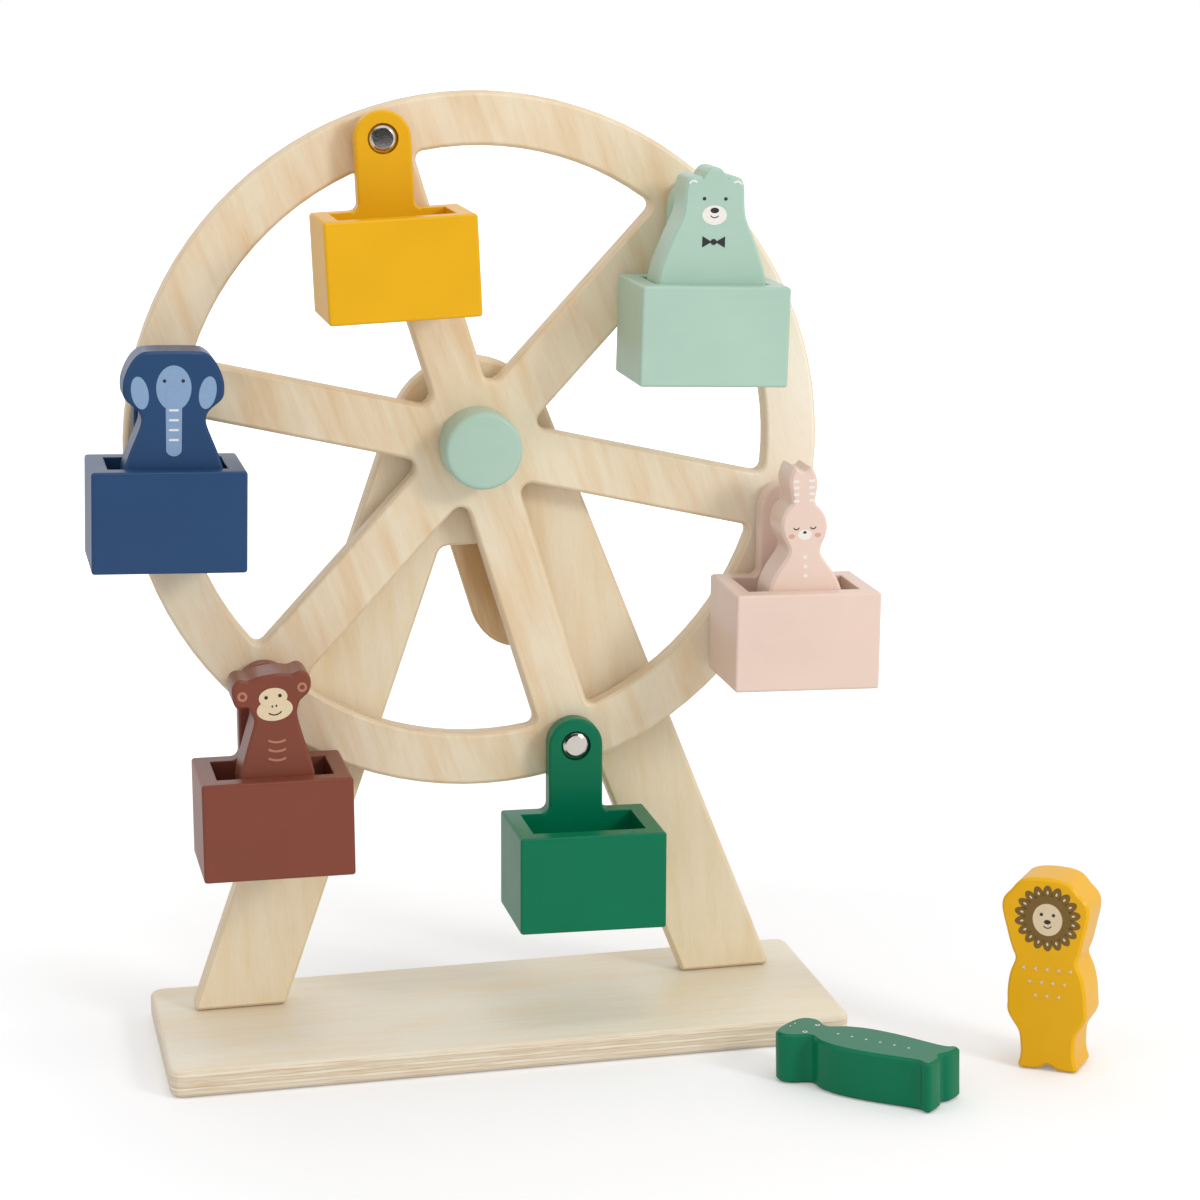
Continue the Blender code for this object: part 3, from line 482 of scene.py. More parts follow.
class FerrisBuckets(bpy.types.Operator):
    """Builds the six buckets, each with its arm, its hollow and its sunk bolt hole"""
    bl_idname = "ferris.buckets"
    bl_label = "Buckets"

    def execute(self, context):
        shape = self.shape()
        for paint in PAINTS:
            bolt = BOLT_POINTS[f"bucket_{paint}_level"]
            hang = Matrix.Rotation(-hang_angle(f"box_{paint}"), 4, "Y")
            mesh = shape.copy()
            mesh.name = f"bucket_{paint}"
            mesh.transform(Matrix.Translation((bolt.x, 0.0, bolt.z)) @ hang)
            piece = show_mesh(f"bucket_{paint}_finished", mesh, paint_of(paint),
                              f"bucket_{paint}", paint, f"hanger_{paint}", f"box_{paint}")
            even_shading(piece)
        return {"FINISHED"}

    def shape(self):
        """One bucket about its bolt, level."""
        s = sizes()
        low, high, floor, top = bucket_extent()
        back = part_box("hanger_yellow")[1].y
        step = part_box("hanger_yellow")[0].y
        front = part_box("box_yellow")[0].y
        arm, hollow, lip = s.arm_width / 2, high - s.end_wall, front + s.front_wall
        rim = (hollow, lip, step, top)
        bm = bmesh.new()
        bmesh.ops.create_cube(bm, size=1.0)
        bmesh.ops.scale(bm, vec=(high - low, back - front, top - floor), verts=bm.verts)
        bmesh.ops.translate(bm, vec=(0.0, (back + front) / 2, (top + floor) / 2), verts=bm.verts)
        for place, way in (((arm, 0, 0), (1, 0, 0)), ((-arm, 0, 0), (1, 0, 0)),
                           ((hollow, 0, 0), (1, 0, 0)), ((-hollow, 0, 0), (1, 0, 0)),
                           ((0, step, 0), (0, 1, 0)), ((0, lip, 0), (0, 1, 0))):
            upper = [f for f in bm.faces if f.calc_center_median().z > top - NEAR]
            geom = upper + list({e for f in upper for e in f.edges} | {v for f in upper for v in f.verts})
            bmesh.ops.bisect_plane(bm, geom=geom, plane_co=place, plane_no=way)
        bmesh.ops.dissolve_limit(bm, angle_limit=math.radians(1), verts=[], delimit=set(),
                                 edges=[e for e in bm.edges if self.needless(e, *rim)])
        mouth = self.top_faces(bm, top, lambda c: abs(c.x) < hollow and lip < c.y < step)
        root = self.top_faces(bm, top, lambda c: abs(c.x) < arm and c.y > step)
        self.pull(bm, root, arm - top)
        self.pull(bm, mouth, s.bucket_floor - (top - floor))
        bmesh.ops.recalc_face_normals(bm, faces=bm.faces)
        crown = [e for e in bm.edges if self.along_y(e) and abs(abs(e.verts[0].co.x) - arm) < NEAR
                 and abs(e.verts[0].co.z - arm) < NEAR]
        almost = 0.9999
        bmesh.ops.bevel(bm, geom=crown, offset=arm * almost, segments=20, profile=0.5,
                        affect="EDGES", material=-1)
        inner = [e for e in bm.edges if self.along_y(e) and abs(abs(e.verts[0].co.x) - arm) < NEAR
                 and abs(e.verts[0].co.z - top) < NEAR and min(v.co.y for v in e.verts) > step - NEAR]
        bmesh.ops.bevel(bm, geom=inner, offset=s.arm_fillet, segments=6, profile=0.5,
                        affect="EDGES", material=-1)
        bmesh.ops.remove_doubles(bm, verts=bm.verts, dist=NEAR)
        bmesh.ops.dissolve_limit(bm, angle_limit=math.radians(0.5), verts=bm.verts, edges=bm.edges)
        for chosen, radius, steps in ((False, s.bucket_round, 3), (True, s.mouth_round, 1)):
            corners = [e for e in bm.edges if e.is_manifold and e.is_convex
                       and self.at_mouth(e, *rim) == chosen and e.calc_face_angle() > math.radians(50)]
            bmesh.ops.bevel(bm, geom=corners, offset=radius, segments=steps, profile=0.5,
                            affect="EDGES", material=-1)
        mesh = bpy.data.meshes.new("bucket_shape")
        bm.to_mesh(mesh)
        bm.free()
        return self.drilled(mesh)

    def top_faces(self, bm, top, test):
        return [f for f in bm.faces if f.calc_center_median().z > top - NEAR
                and test(f.calc_center_median())]

    def needless(self, edge, hollow, lip, step, top):
        """True for the cuts that cross the hollow's mouth or the shoulders beside the arm."""
        middle = (edge.verts[0].co + edge.verts[1].co) / 2
        mouth = abs(middle.x) < hollow - NEAR and lip + NEAR < middle.y < step - NEAR
        shoulder = abs(abs(middle.x) - hollow) < NEAR and middle.y > step + NEAR
        return middle.z > top - NEAR and (mouth or shoulder)

    def at_mouth(self, edge, hollow, lip, step, top):
        """True for the edges round the hollow's mouth."""
        return all(abs(v.co.x) < hollow + NEAR and abs(v.co.z - top) < NEAR
                   and lip - NEAR < v.co.y < step + NEAR for v in edge.verts)

    def along_y(self, edge):
        first, second = (v.co for v in edge.verts)
        return abs(first.x - second.x) < NEAR and abs(first.z - second.z) < NEAR

    def pull(self, bm, faces, height):
        """Raises these faces, or sinks them where the height is negative."""
        grown = bmesh.ops.extrude_face_region(bm, geom=faces)["geom"]
        verts = [item for item in grown if isinstance(item, bmesh.types.BMVert)]
        bmesh.ops.translate(bm, verts=verts, vec=(0, 0, height))
        bmesh.ops.delete(bm, geom=faces, context="FACES_ONLY")

    def drilled(self, mesh):
        """The bucket with the stepped hole for its bolt."""
        body = bpy.data.objects.new("bucket_blank", mesh)
        head_low, head_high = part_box("bolt_yellow")
        room, sink, bore, reach = 0.0006, 0.0025, 0.0028, 0.01
        head = (head_high.x - head_low.x) / 2 + room
        seat = head_low.y + sink
        profile = [(0, head_low.y - reach), (head, head_low.y - reach), (head, seat), (bore, seat),
                   (bore, head_high.y + reach), (0, head_high.y + reach)]
        cutter_mesh = bpy.data.meshes.new("bolt_drill")
        drill = turned(profile, (0, 0, 0), 48)
        drill.to_mesh(cutter_mesh)
        drill.free()
        cutter = bpy.data.objects.new("bolt_drill", cutter_mesh)
        for item in (body, cutter):
            bpy.context.scene.collection.objects.link(item)
        cut = body.modifiers.new("bolt hole", "BOOLEAN")
        cut.operation = "DIFFERENCE"
        cut.solver = "EXACT"
        cut.object = cutter
        done = bpy.data.meshes.new_from_object(body.evaluated_get(bpy.context.evaluated_depsgraph_get()))
        for item in (body, cutter):
            bpy.data.objects.remove(item)
        return done


def hang_angle(node):
    """How far a bucket hangs off level, counter-clockwise from the front, from its flat bottom."""
    face = max(frame["nodes"][node].data.polygons, key=lambda p: -p.normal.z * p.area)
    return math.atan2(face.normal.x, -face.normal.z)


def bucket_extent():
    """Left, right, bottom and top of the yellow bucket's box about its bolt, once it is level."""
    bolt = BOLT_POINTS["bucket_yellow_level"]
    level = Matrix.Rotation(hang_angle("box_yellow"), 4, "Y")
    points = [level @ (v.co - Vector((bolt.x, 0.0, bolt.z)))
              for v in frame["nodes"]["box_yellow"].data.vertices]
    across = [p.x for p in points]
    height = [p.z for p in points]
    return min(across), max(across), min(height), max(height)


class FerrisTurned(bpy.types.Operator):
    """Turns the hub cap, the crank's grip and the axle"""
    bl_idname = "ferris.turned"
    bl_label = "Hub Cap, Grip and Axle"

    def execute(self, context):
        hub = BOLT_POINTS["wheel_spin"]
        self.hub_cap(hub)
        self.crank_grip()
        self.axle(hub)
        return {"FINISHED"}

    def hub_cap(self, hub):
        low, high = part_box("hub_cap")
        radius, front, back = (high.x - low.x) / 2, low.y, high.y
        rounding, bevel, bore, depth = 0.0022, 0.0003, 0.0063, 0.012
        cap = [*rounded_profile([(0, front), (radius, front), (radius, back)], rounding, 6)[:-1],
               (radius, back - bevel), (radius - bevel, back), (bore, back), (bore, back - depth),
               (0, back - depth)]
        show("hub_cap_finished", turned(cap, (hub.x, 0, hub.z), 96), paint_of("mint"), "wheel",
             "mint", "hub_cap")

    def crank_grip(self):
        """The grip swells towards its end. shape holds its radius at each share of its length."""
        low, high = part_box("crank_grip")
        middle, pin = (low + high) / 2, 0.005
        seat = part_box("crank_arm")[1].y + 0.0003
        shape = [(0.0085, 0.0), (0.0090, 0.03), (0.0093, 0.2), (0.0097, 0.4), (0.0102, 0.6),
                 (0.0105, 0.75), (0.0102, 0.86), (0.0094, 0.94), (0.0078, 0.985), (0.0055, 1.0), (0, 1.0)]
        grip = [(0, low.y), (pin, low.y), (pin, seat),
                *[(radius, seat + (high.y - seat) * share) for radius, share in shape]]
        show("crank_grip_finished", turned(grip, (middle.x, 0, middle.z)), paint_of("mint"), "wheel",
             "mint", "crank_grip")

    def axle(self, hub):
        """A dowel with its grain along it, so deep in its start and thickness that no ply shows."""
        low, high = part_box("axle")
        radius, bevel = 0.006, 0.0006
        dowel = [(0, low.y), (radius - bevel, low.y), (radius, low.y + bevel),
                 (radius, high.y - bevel), (radius - bevel, high.y), (0, high.y)]
        wood = material_of("beech_dowel", birch_plywood, colours().birch_warm, colours().ply_edge,
                           (0.0, 0.0, math.pi / 2), -1.0, 3.0)
        show("axle_finished", turned(dowel, (hub.x, 0, hub.z)), wood, "wheel", "ply", "axle")


class FerrisBolts(bpy.types.Operator):
    """Turns the bucket bolts and finishes the nuts, washers, spacers and screws"""
    bl_idname = "ferris.bolts"
    bl_label = "Bolts and Fastenings"

    def execute(self, context):
        proud, slope, depth, shank, bevel = 0.0003, 0.0008, 0.0022, 0.0025, 0.0003
        for paint in PAINTS:
            node = f"bolt_{paint}"
            low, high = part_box(node)
            middle, radius = (low + high) / 2, (high.x - low.x) / 2
            front, under, flat = low.y - proud, low.y + depth, radius * 0.74
            head = [(0, front), (flat, front), (radius, front + slope), (radius, under)]
            profile = [*rounded_profile(head, 0.0003, 3), (shank, under), (shank, high.y - bevel),
                       (shank - bevel, high.y), (0, high.y)]
            show(f"{node}_finished", turned(profile, (middle.x, 0, middle.z)), nickel(),
                 "wheel", "steel", node)
        for node, item in frame["nodes"].items():
            if node.startswith(("nut_", "stand_screw")):
                self.finish(item, nickel())
            if node.startswith("washer_") or node.endswith("_spacer"):
                self.finish(item, material_of("moulded_nylon", moulded_nylon))
        return {"FINISHED"}

    def finish(self, item, material):
        item.data.materials.clear()
        item.data.materials.append(material)


def fade(distance, inner, outer):
    """1 up to the inner distance, 0 past the outer one, and smooth between them."""
    share = max(0.0, min(1.0, (outer - distance) / (outer - inner)))
    return share * share * (3 - 2 * share)


class FerrisFigures(bpy.types.Operator):
    """Smooths the outlines of the six animal figures and rounds their edges"""
    bl_idname = "ferris.figures"
    bl_label = "Animal Figures"

    # Where a figure's outline is trimmed, in millimetres across it and up it: the place, how far
    # round it moves fully and at all, and the step outwards and up. A row trims both sides, or the
    # left alone where its place is negative
    trims = {
        "bear": ((0.0, 83.0, 1.5, 2.6, 0.0, 4.4), (3.0, 82.9, 0.8, 1.9, 0.8, 3.5),
                 (5.2, 83.5, 0.8, 1.7, -0.2, -1.9), (8.8, 84.0, 2.6, 3.4, 0.0, -1.1)),
        "lion": ((12.4, 1.0, 1.0, 5.0, 0.9, 0.0), (15.3, 22.8, 2.0, 6.5, 1.7, 0.2),
                 (14.2, 52.5, 2.0, 8.0, 0.0, -1.8), (18.8, 63.5, 1.0, 7.0, -0.8, 1.0),
                 (19.6, 72.0, 2.0, 9.0, 0.0, 1.6), (16.2, 82.5, 2.0, 6.5, -2.4, 0.2),
                 (10.5, 86.2, 1.0, 5.0, -1.6, 0.0)),
        "crocodile": ((9.6, 62.8, 1.5, 6.5, -1.9, 0.0), (12.4, 73.0, 1.0, 6.0, 0.5, 0.5)),
        "monkey": ((-17.2, 71.0, 1.3, 3.4, 0.3, -2.2), (-14.5, 68.9, 0.9, 2.1, 0.3, -1.3),
                   (-11.9, 67.4, 0.8, 1.6, -0.2, 0.3)),
    }

    def execute(self, context):
        for animal, paint in FIGURE_PAINTS.items():
            node = f"figure_{animal}"
            across = figure_frame(animal).to_3x3().col[1]
            bm = merged_copy(node)
            flat = [f for f in bm.faces if abs(f.normal.dot(across)) > 0.9]
            flat = bmesh.ops.dissolve_faces(bm, faces=flat)["region"]
            self.trim(bm, animal)
            if animal == "rabbit":
                self.close_ears(bm)
            bmesh.ops.triangulate(bm, faces=flat)
            bm.normal_update()
            sides = [f for f in bm.faces if abs(f.normal.dot(across)) < 0.9]
            bmesh.ops.join_triangles(bm, faces=sides, angle_face_threshold=math.radians(1),
                                     angle_shape_threshold=math.pi)
            self.crease(bm, across)
            piece = show(f"{node}_finished", bm, paint_of(paint), node, paint, node)
            smooth = piece.modifiers.new("smooth outline", "SUBSURF")
            smooth.levels = 2
            smooth.render_levels = 2
            edge = piece.modifiers.new("rounded edge", "BEVEL")
            edge.width = sizes().figure_round
            edge.segments = 2
            edge.limit_method = "ANGLE"
            edge.angle_limit = math.radians(35)
            even_shading(piece)
        return {"FINISHED"}

    def trim(self, bm, animal):
        """Moves the outline's points softly."""
        place = figure_frame(animal)
        for vert in bm.verts:
            spot = place.inverted() @ vert.co / MM
            side = math.copysign(1.0, spot.x)
            middle = -LION_SLANT * spot.z if animal == "lion" else 0.0
            across, up = spot.x + middle, spot.z
            for x, z, inner, outer, outwards, rise in self.trims.get(animal, ()):
                apart = (across if x < 0 else abs(across)) - x
                share = fade(math.hypot(apart, up - z), inner, outer)
                spot.x += side * outwards * share
                spot.z += rise * share
            vert.co = place @ (spot * MM)

    def close_ears(self, bm):
        """Closes the slit between the rabbit's ears to a shallow dip, draws the ears out a little, and
        leans the rabbit in its bucket."""
        place = figure_frame("rabbit")
        half_gap, dip, bevel = 3.1, 88.3, 1.2
        for vert in bm.verts:
            spot = place.inverted() @ vert.co / MM
            on_face = min(spot.y, FIGURE_DEPTH - spot.y) < bevel / 2
            if abs(spot.x) < half_gap and 75.0 < spot.z < 89.5:
                spot.z = dip - bevel * on_face + 1.9 * (spot.x / half_gap) ** 2
            spot.z += 0.13 * max(0.0, spot.z - 76.0)
            spot.x = 1.04 * spot.x - math.tan(RABBIT_LEAN) * (spot.z - RABBIT_PIVOT)
            vert.co = place @ (spot * MM)

    def crease(self, bm, across):
        """Holds the corners between face, slope and side, which run round the figure."""
        layer = bm.edges.layers.float.new("crease_edge")
        for edge in bm.edges:
            run = (edge.verts[1].co - edge.verts[0].co).normalized()
            if abs(run.dot(across)) < 0.3 and edge.is_manifold and edge.calc_face_angle() > math.radians(30):
                edge[layer] = 1.0


def figure_frame(animal):
    """A figure's own frame: X across it, Z up it, and its origin at its sole's front edge."""
    s = sizes()
    if animal == "lion":
        turn = Euler((0.0, 0.0, s.lion_turn)).to_matrix()
    elif animal == "crocodile":
        turn = Euler((-math.pi / 2, 0.0, s.crocodile_turn)).to_matrix()
    else:
        turn = Matrix.Rotation(-hang_angle(f"box_{SEATS[animal]}"), 3, "Y")
    points = [turn.inverted() @ v.co for v in frame["nodes"][f"figure_{animal}"].data.vertices]
    sole = min(p.z for p in points)
    foot = [p.x for p in points if p.z < sole + 0.002]
    origin = turn @ Vector(((min(foot) + max(foot)) / 2, min(p.y for p in points), sole))
    return Matrix.Translation(origin) @ turn.to_4x4()


class Print:
    """Flat printed shapes of one ink on a figure's front, drawn in millimetres."""

    def __init__(self, animal, ink, layer=0, lean=0.0, pivot=62.0):
        self.animal, self.ink, self.layer = animal, ink, layer
        self.head = (Matrix.Translation((0, 0, pivot)) @ Matrix.Rotation(-lean, 4, "Y")
                     @ Matrix.Translation((0, 0, -pivot)))
        self.bm = bmesh.new()

    def oval(self, x, z, across, high=None, turn=0.0, points=32):
        made = bmesh.ops.create_circle(self.bm, cap_ends=True, segments=points, radius=1.0)
        bmesh.ops.scale(self.bm, vec=(across, high or across, 1.0), verts=made["verts"])
        self.place(made["verts"], x, z, turn)

    def bar(self, x, z, long, wide, turn=0.0):
        """A stroke with round ends."""
        made = bmesh.ops.create_circle(self.bm, cap_ends=True, segments=16, radius=wide / 2)
        for vert in made["verts"]:
            vert.co.x += math.copysign((long - wide) / 2, vert.co.x)
        self.place(made["verts"], x, z, turn)

    def arc(self, x, z, radius, wide, start, sweep, steps=14):
        """A curved stroke. start and sweep are in degrees, counter-clockwise."""
        first = self.bm.verts.new((radius - wide / 2, 0, 0))
        second = self.bm.verts.new((radius + wide / 2, 0, 0))
        edge = self.bm.edges.new((first, second))
        before = set(self.bm.verts) - {first, second}
        bmesh.ops.spin(self.bm, geom=[first, second, edge], cent=(0, 0, 0), axis=(0, 0, 1),
                       angle=math.radians(sweep), steps=steps)
        verts = [v for v in self.bm.verts if v not in before]
        self.place(verts, x, z, math.radians(start))

    def place(self, verts, x, z, turn):
        bmesh.ops.rotate(self.bm, verts=verts, cent=(0, 0, 0), matrix=Matrix.Rotation(turn, 3, "Z"))
        bmesh.ops.translate(self.bm, verts=verts, vec=(x, z, 0))

    def finish(self):
        """Gives the shapes their depth and puts them on the figure."""
        depth = sizes().ink_depth
        bmesh.ops.remove_doubles(self.bm, verts=self.bm.verts, dist=1e-4)
        flat = list(self.bm.faces)
        for face in flat:
            if face.normal.z < 0:
                face.normal_flip()
        grown = bmesh.ops.extrude_face_region(self.bm, geom=flat)["geom"]
        verts = [item for item in grown if isinstance(item, bmesh.types.BMVert)]
        bmesh.ops.translate(self.bm, verts=verts, vec=(0, 0, depth / MM))
        bmesh.ops.recalc_face_normals(self.bm, faces=self.bm.faces)
        lift = 0.00002 + self.layer * depth * 1.1
        stand = Matrix.Rotation(math.pi / 2, 4, "X")
        matrix = (figure_frame(self.animal) @ Matrix.Translation((0, -lift, 0))
                  @ Matrix.Diagonal((MM, MM, MM, 1.0)) @ self.head @ stand)
        bmesh.ops.transform(self.bm, matrix=matrix, verts=self.bm.verts)
        material = material_of(f"printing_ink_{self.ink}", printing_ink,
                               getattr(colours(), f"ink_{self.ink}"))
        name = f"print_{self.animal}_{self.ink}_{self.layer}"
        piece = show(name, self.bm, material, f"figure_{self.animal}", FIGURE_PAINTS[self.animal])
        piece.data.shade_flat()


class FerrisPrints(bpy.types.Operator):
    """Prints plain faces and simple marks on the figures"""
    bl_idname = "ferris.prints"
    bl_label = "Printed Faces"

    def execute(self, context):
        for animal in FIGURE_PAINTS:
            getattr(self, animal)()
        return {"FINISHED"}

    def elephant(self):
        sky = Print("elephant", "sky")
        for side in (-1, 1):
            sky.oval(side * 14.2, 69.5, 3.6, 7.0, -side * 0.18)
        sky.oval(0, 71.5, 7.4, 9.6)
        sky.finish()
        trunk = Print("elephant", "sky", 1)
        trunk.bar(0, 57.5, 30.0, 7.0, math.pi / 2)
        trunk.finish()
        white = Print("elephant", "white", 2)
        for k in range(4):
            white.bar(0, 49.5 + 4.2 * k, 4.2, 0.9)
        white.finish()
        dark = Print("elephant", "dark", 1)
        for side in (-1, 1):
            dark.oval(side * 3.9, 74.5, 0.75)
        dark.finish()

    def bear(self):
        white = Print("bear", "white")
        white.oval(0, 67.0, 5.4, 4.2)
        for side in (-1, 1):
            white.arc(side * 9.6, 79.6, 1.9, 0.9, 20 if side > 0 else 40, 120)
        white.finish()
        dark = Print("bear", "dark", 1)
        dark.oval(0, 69.0, 1.9, 1.2)
        dark.arc(0, 68.0, 2.1, 0.4, 215, 110)
        for side in (-1, 1):
            dark.oval(side * 4.7, 74.0, 0.75)
            dark.oval(side * 3.6, 55.5, 2.8, 2.8, side * math.pi / 2, 3)
        dark.oval(0, 55.5, 1.3)
        dark.finish()

    def rabbit(self):
        lean = (RABBIT_LEAN, RABBIT_PIVOT)
        white = Print("rabbit", "white", 0, *lean)
        for side in (-1, 1):
            for k in range(4):
                white.bar(side * 3.5, 77.2 + 2.9 * k, 2.7, 1.3)
        white.oval(0, 62.0, 3.2, 2.3)
        for k in range(3):
            white.oval(0, 52.0 - 4.2 * k, 0.9)
        white.finish()
        rose = Print("rabbit", "rose", 0, *lean)
        for side in (-1, 1):
            rose.oval(side * 5.9, 61.6, 1.4, 1.0)
        rose.finish()
        dark = Print("rabbit", "dark", 1, *lean)
        for side in (-1, 1):
            dark.arc(side * 3.8, 65.8, 1.3, 0.45, 200, 140)
        dark.oval(0, 63.1, 0.8, 0.6)
        dark.finish()

    def monkey(self):
        lean = math.radians(6.5)
        cream = Print("monkey", "cream", 0, lean)
        cream.oval(0, 67.0, 7.8, 4.9)
        cream.finish()
        brow = Print("monkey", "cream", 1, lean)
        brow.oval(0, 72.4, 6.2, 4.2)
        brow.finish()
        tan = Print("monkey", "tan", 0, lean)
        for side in (-1, 1):
            tan.arc(side * 13.0, 74.8, 1.6, 1.1, 0, 360, 28)
        tan.finish()
        bands = Print("monkey", "tan", 1)
        for k in range(3):
            bands.arc(0, 60.0 - 4.0 * k, 7.5, 1.0, 240, 60)
        bands.finish()
        dark = Print("monkey", "dark", 2, lean)
        for side in (-1, 1):
            dark.oval(side * 3.0, 72.8, 0.8)
            dark.oval(side * 0.9, 68.6, 0.35, 0.55)
        dark.arc(0, 68.6, 3.9, 0.5, 225, 90)
        dark.finish()

    def lion(self):
        middle = 69.0
        mane = Print("lion", "mane")
        for k in range(18):
            angle = 2 * math.pi * k / 18
            mane.oval(10.6 * math.sin(angle), middle + 10.6 * math.cos(angle), 2.2, 4.2, -angle)
        mane.finish()
        ring = Print("lion", "mane", 1)
        ring.oval(0, middle, 10.0, points=64)
        ring.finish()
        face = Print("lion", "cream", 2)
        face.oval(0, middle - 0.6, 6.6, 7.2)
        for k in range(18):
            angle = 2 * math.pi * k / 18
            face.oval(11.6 * math.sin(angle), middle + 11.6 * math.cos(angle), 0.45, 0.8, -angle, 12)
        for row, count in ((46.0, 5), (40.0, 4), (34.0, 3)):
            for k in range(count):
                face.oval((k - (count - 1) / 2) * 5.2, row, 1.15, 1.15, math.pi / 2, 3)
        face.finish()
        dark = Print("lion", "dark", 3)
        for side in (-1, 1):
            dark.oval(side * 2.7, middle + 1.6, 0.75)
        dark.oval(0, middle - 1.6, 1.5, 1.0)
        dark.arc(0, middle - 2.2, 2.1, 0.45, 215, 110)
        dark.finish()

    def crocodile(self):
        white = Print("crocodile", "white")
        for side in (-1, 1):
            white.oval(side * 5.2, 66.5, 1.1)
            white.oval(side * 2.0, 76.0, 0.4)
        for k in range(6):
            white.oval(0, 18.0 + 7.0 * k, 0.8, 0.8, math.pi / 2, 3)
        white.finish()
        dark = Print("crocodile", "dark", 1)
        for side in (-1, 1):
            dark.oval(side * 5.2, 66.5, 0.5)
        dark.finish()


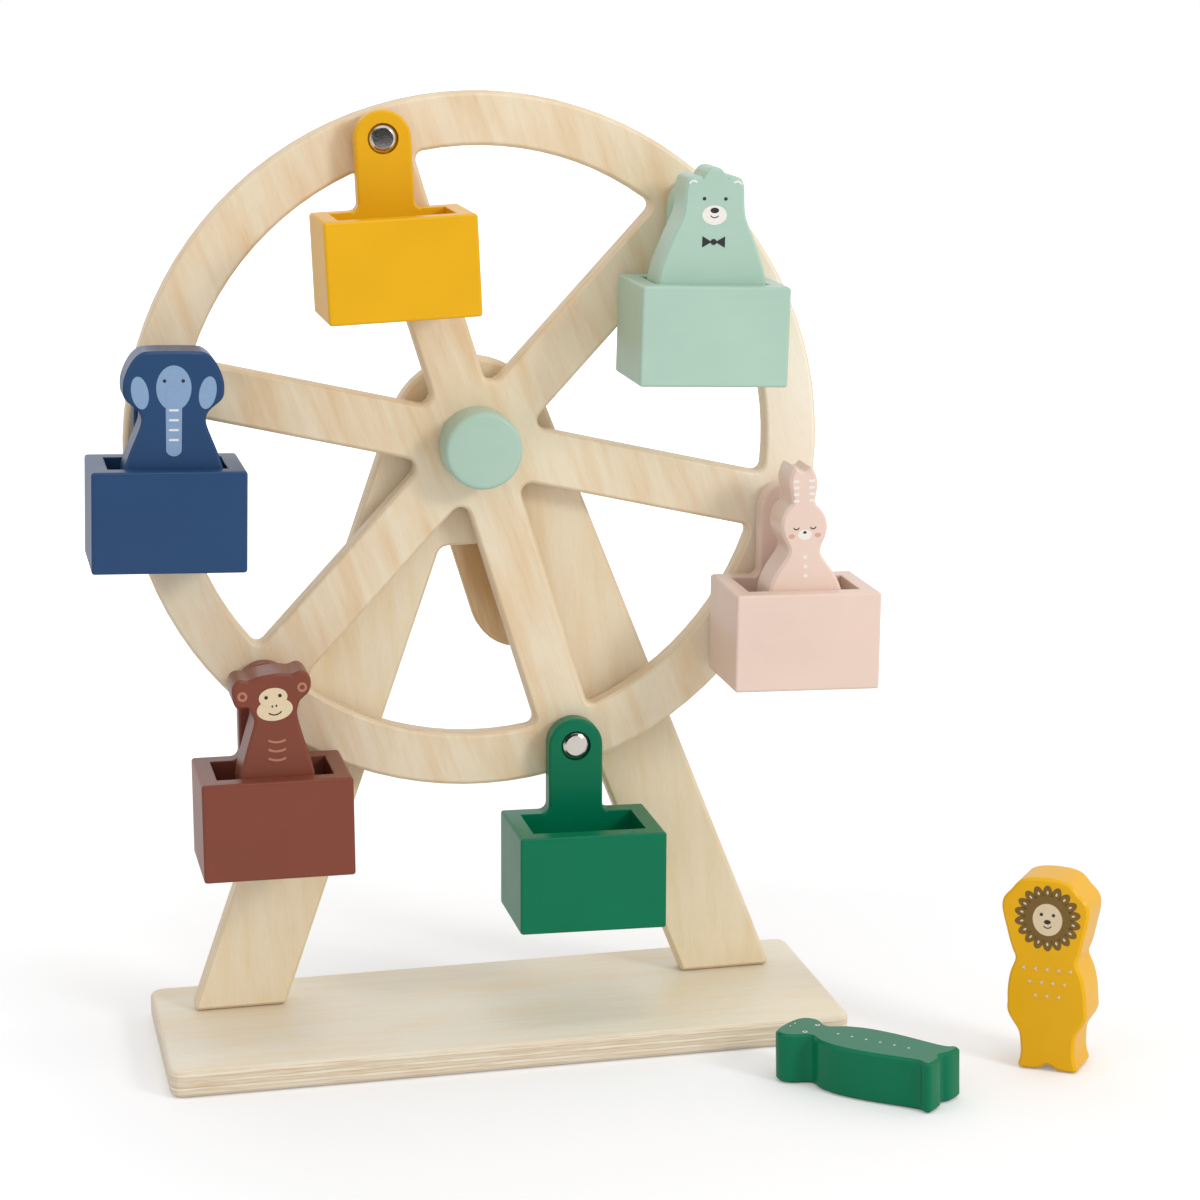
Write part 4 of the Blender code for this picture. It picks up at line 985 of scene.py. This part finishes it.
class FerrisStageOperator(bpy.types.Operator):
    """Sets the floor, the light and the camera"""
    bl_idname = "ferris.stage"
    bl_label = "Stage"

    def execute(self, context):
        stage = context.scene.ferris_stage
        self.sheet("floor", 8, Matrix.Translation((0.0, 0.0, -0.0004)) @ Matrix.Diagonal((9, 9, 1, 1)),
                   material_of("matt_white_paper", white_paper))
        self.world(stage.ambient)
        self.flag()
        self.soft_box("key_light", (1.35, -1.75, 1.15), (0.0, 0.0, 0.2), 0.5, stage.key_power)
        self.soft_box("top_light", (0.25, -0.45, 2.1), (0.0, 0.0, 0.2), 0.45, stage.top_power)
        self.camera(stage)
        context.scene.view_settings.view_transform = "Standard"
        return {"FINISHED"}

    def sheet(self, name, cells, place, material):
        """A flat sheet, two metres square before it is placed."""
        bm = bmesh.new()
        bmesh.ops.create_grid(bm, x_segments=cells, y_segments=cells, size=1.0)
        bmesh.ops.transform(bm, matrix=place, verts=bm.verts)
        mesh = bpy.data.meshes.new(name)
        bm.to_mesh(mesh)
        bm.free()
        mesh.materials.append(material)
        item = bpy.data.objects.new(name, mesh)
        bpy.context.scene.collection.objects.link(item)
        return item

    def flag(self):
        """A black card behind the camera. It only shows in reflections, as the dark room would."""
        place = (Matrix.Translation((0.0, -2.3, 1.3)) @ Matrix.Rotation(math.pi / 2, 4, "X")
                 @ Matrix.Diagonal((2.6, 1.3, 1.0, 1.0)))
        card = self.sheet("black_flag", 1, place, material_of("black_felt", black_felt))
        card.visible_camera = False
        card.visible_diffuse = False
        card.visible_shadow = False
        card.visible_transmission = False

    def world(self, strength):
        """White to the eye and in reflections, and a plain even light on the object."""
        world = bpy.data.worlds.new("studio")
        world.use_nodes = True
        tree = world.node_tree
        tree.nodes.clear()
        straight, mirrored, clear = (add(tree, "ShaderNodeLightPath", {}, f"Is {kind} Ray")
                                     for kind in ("Camera", "Glossy", "Transmission"))
        seen = maths(tree, "MAXIMUM", maths(tree, "MAXIMUM", straight, mirrored), clear)
        plain, white = (add(tree, "ShaderNodeBackground", {"Color": (1, 1, 1, 1), "Strength": power})
                        for power in (strength, 1.0))
        either = add(tree, "ShaderNodeMixShader", {0: seen, 1: plain, 2: white})
        feed(tree, tree.nodes.new("ShaderNodeOutputWorld"), {"Surface": either})
        bpy.context.scene.world = world

    def soft_box(self, name, place, target, size, power):
        lamp = bpy.data.lights.new(name, "AREA")
        lamp.shape = "SQUARE"
        lamp.size = size
        lamp.energy = power
        item = bpy.data.objects.new(name, lamp)
        item.location = place
        item.rotation_euler = (Vector(target) - Vector(place)).to_track_quat("-Z", "Y").to_euler()
        bpy.context.scene.collection.objects.link(item)

    def camera(self, stage):
        """The photograph's view: heading about Z, then tilt, then roll about the line of sight."""
        heading, tilt, roll = stage.camera_turn
        ahead = Vector((-math.sin(heading), math.cos(heading), 0.0))
        right = Vector((math.cos(heading), math.sin(heading), 0.0))
        up = Vector((0.0, 0.0, 1.0))
        sight = ahead * math.cos(tilt) + up * math.sin(tilt)
        crown = up * math.cos(tilt) - ahead * math.sin(tilt)
        across = right * math.cos(roll) + crown * math.sin(roll)
        rise = crown * math.cos(roll) - right * math.sin(roll)
        lens = bpy.data.cameras.new("camera")
        lens.lens = stage.lens
        lens.sensor_width = 36.0
        lens.shift_x = 0.0042
        lens.shift_y = -0.0254
        camera = bpy.data.objects.new("camera", lens)
        turn = Matrix((across, rise, -sight)).transposed()
        camera.matrix_world = Matrix.Translation(stage.camera_place) @ turn.to_4x4()
        bpy.context.scene.collection.objects.link(camera)
        bpy.context.scene.camera = camera


class FerrisPanel(bpy.types.Panel):
    """Lists the toy's pieces in the order in which they are made"""
    bl_idname = "VIEW3D_PT_ferris"
    bl_label = "Ferris Wheel"
    bl_space_type = "VIEW_3D"
    bl_region_type = "UI"
    bl_category = "Ferris Wheel"

    def draw(self, context):
        for operator in OPERATORS:
            self.layout.operator(operator.bl_idname)
        for group in (context.scene.ferris_sizes, context.scene.ferris_colours,
                      context.scene.ferris_stage):
            column = self.layout.column(align=True)
            for field in group.__annotations__:
                column.prop(group, field)


GROUPS = {
    "ferris_colours": FerrisColours,
    "ferris_sizes": FerrisSizes,
    "ferris_stage": FerrisStage,
}
OPERATORS = (FerrisBoards, FerrisBuckets, FerrisTurned, FerrisBolts, FerrisFigures, FerrisPrints,
             FerrisStageOperator)


def register():
    for cls in (*GROUPS.values(), *OPERATORS, FerrisPanel):
        bpy.utils.register_class(cls)
    for name, group in GROUPS.items():
        setattr(bpy.types.Scene, name, bpy.props.PointerProperty(type=group))


def unregister():
    for name in GROUPS:
        delattr(bpy.types.Scene, name)
    for cls in reversed((*GROUPS.values(), *OPERATORS, FerrisPanel)):
        bpy.utils.unregister_class(cls)


def main():
    register()
    bpy.ops.ferris.stage()
    bpy.ops.ferris.boards()
    bpy.ops.ferris.buckets()
    bpy.ops.ferris.turned()
    bpy.ops.ferris.bolts()
    bpy.ops.ferris.figures()
    bpy.ops.ferris.prints()


if __name__ == "__main__":
    main()
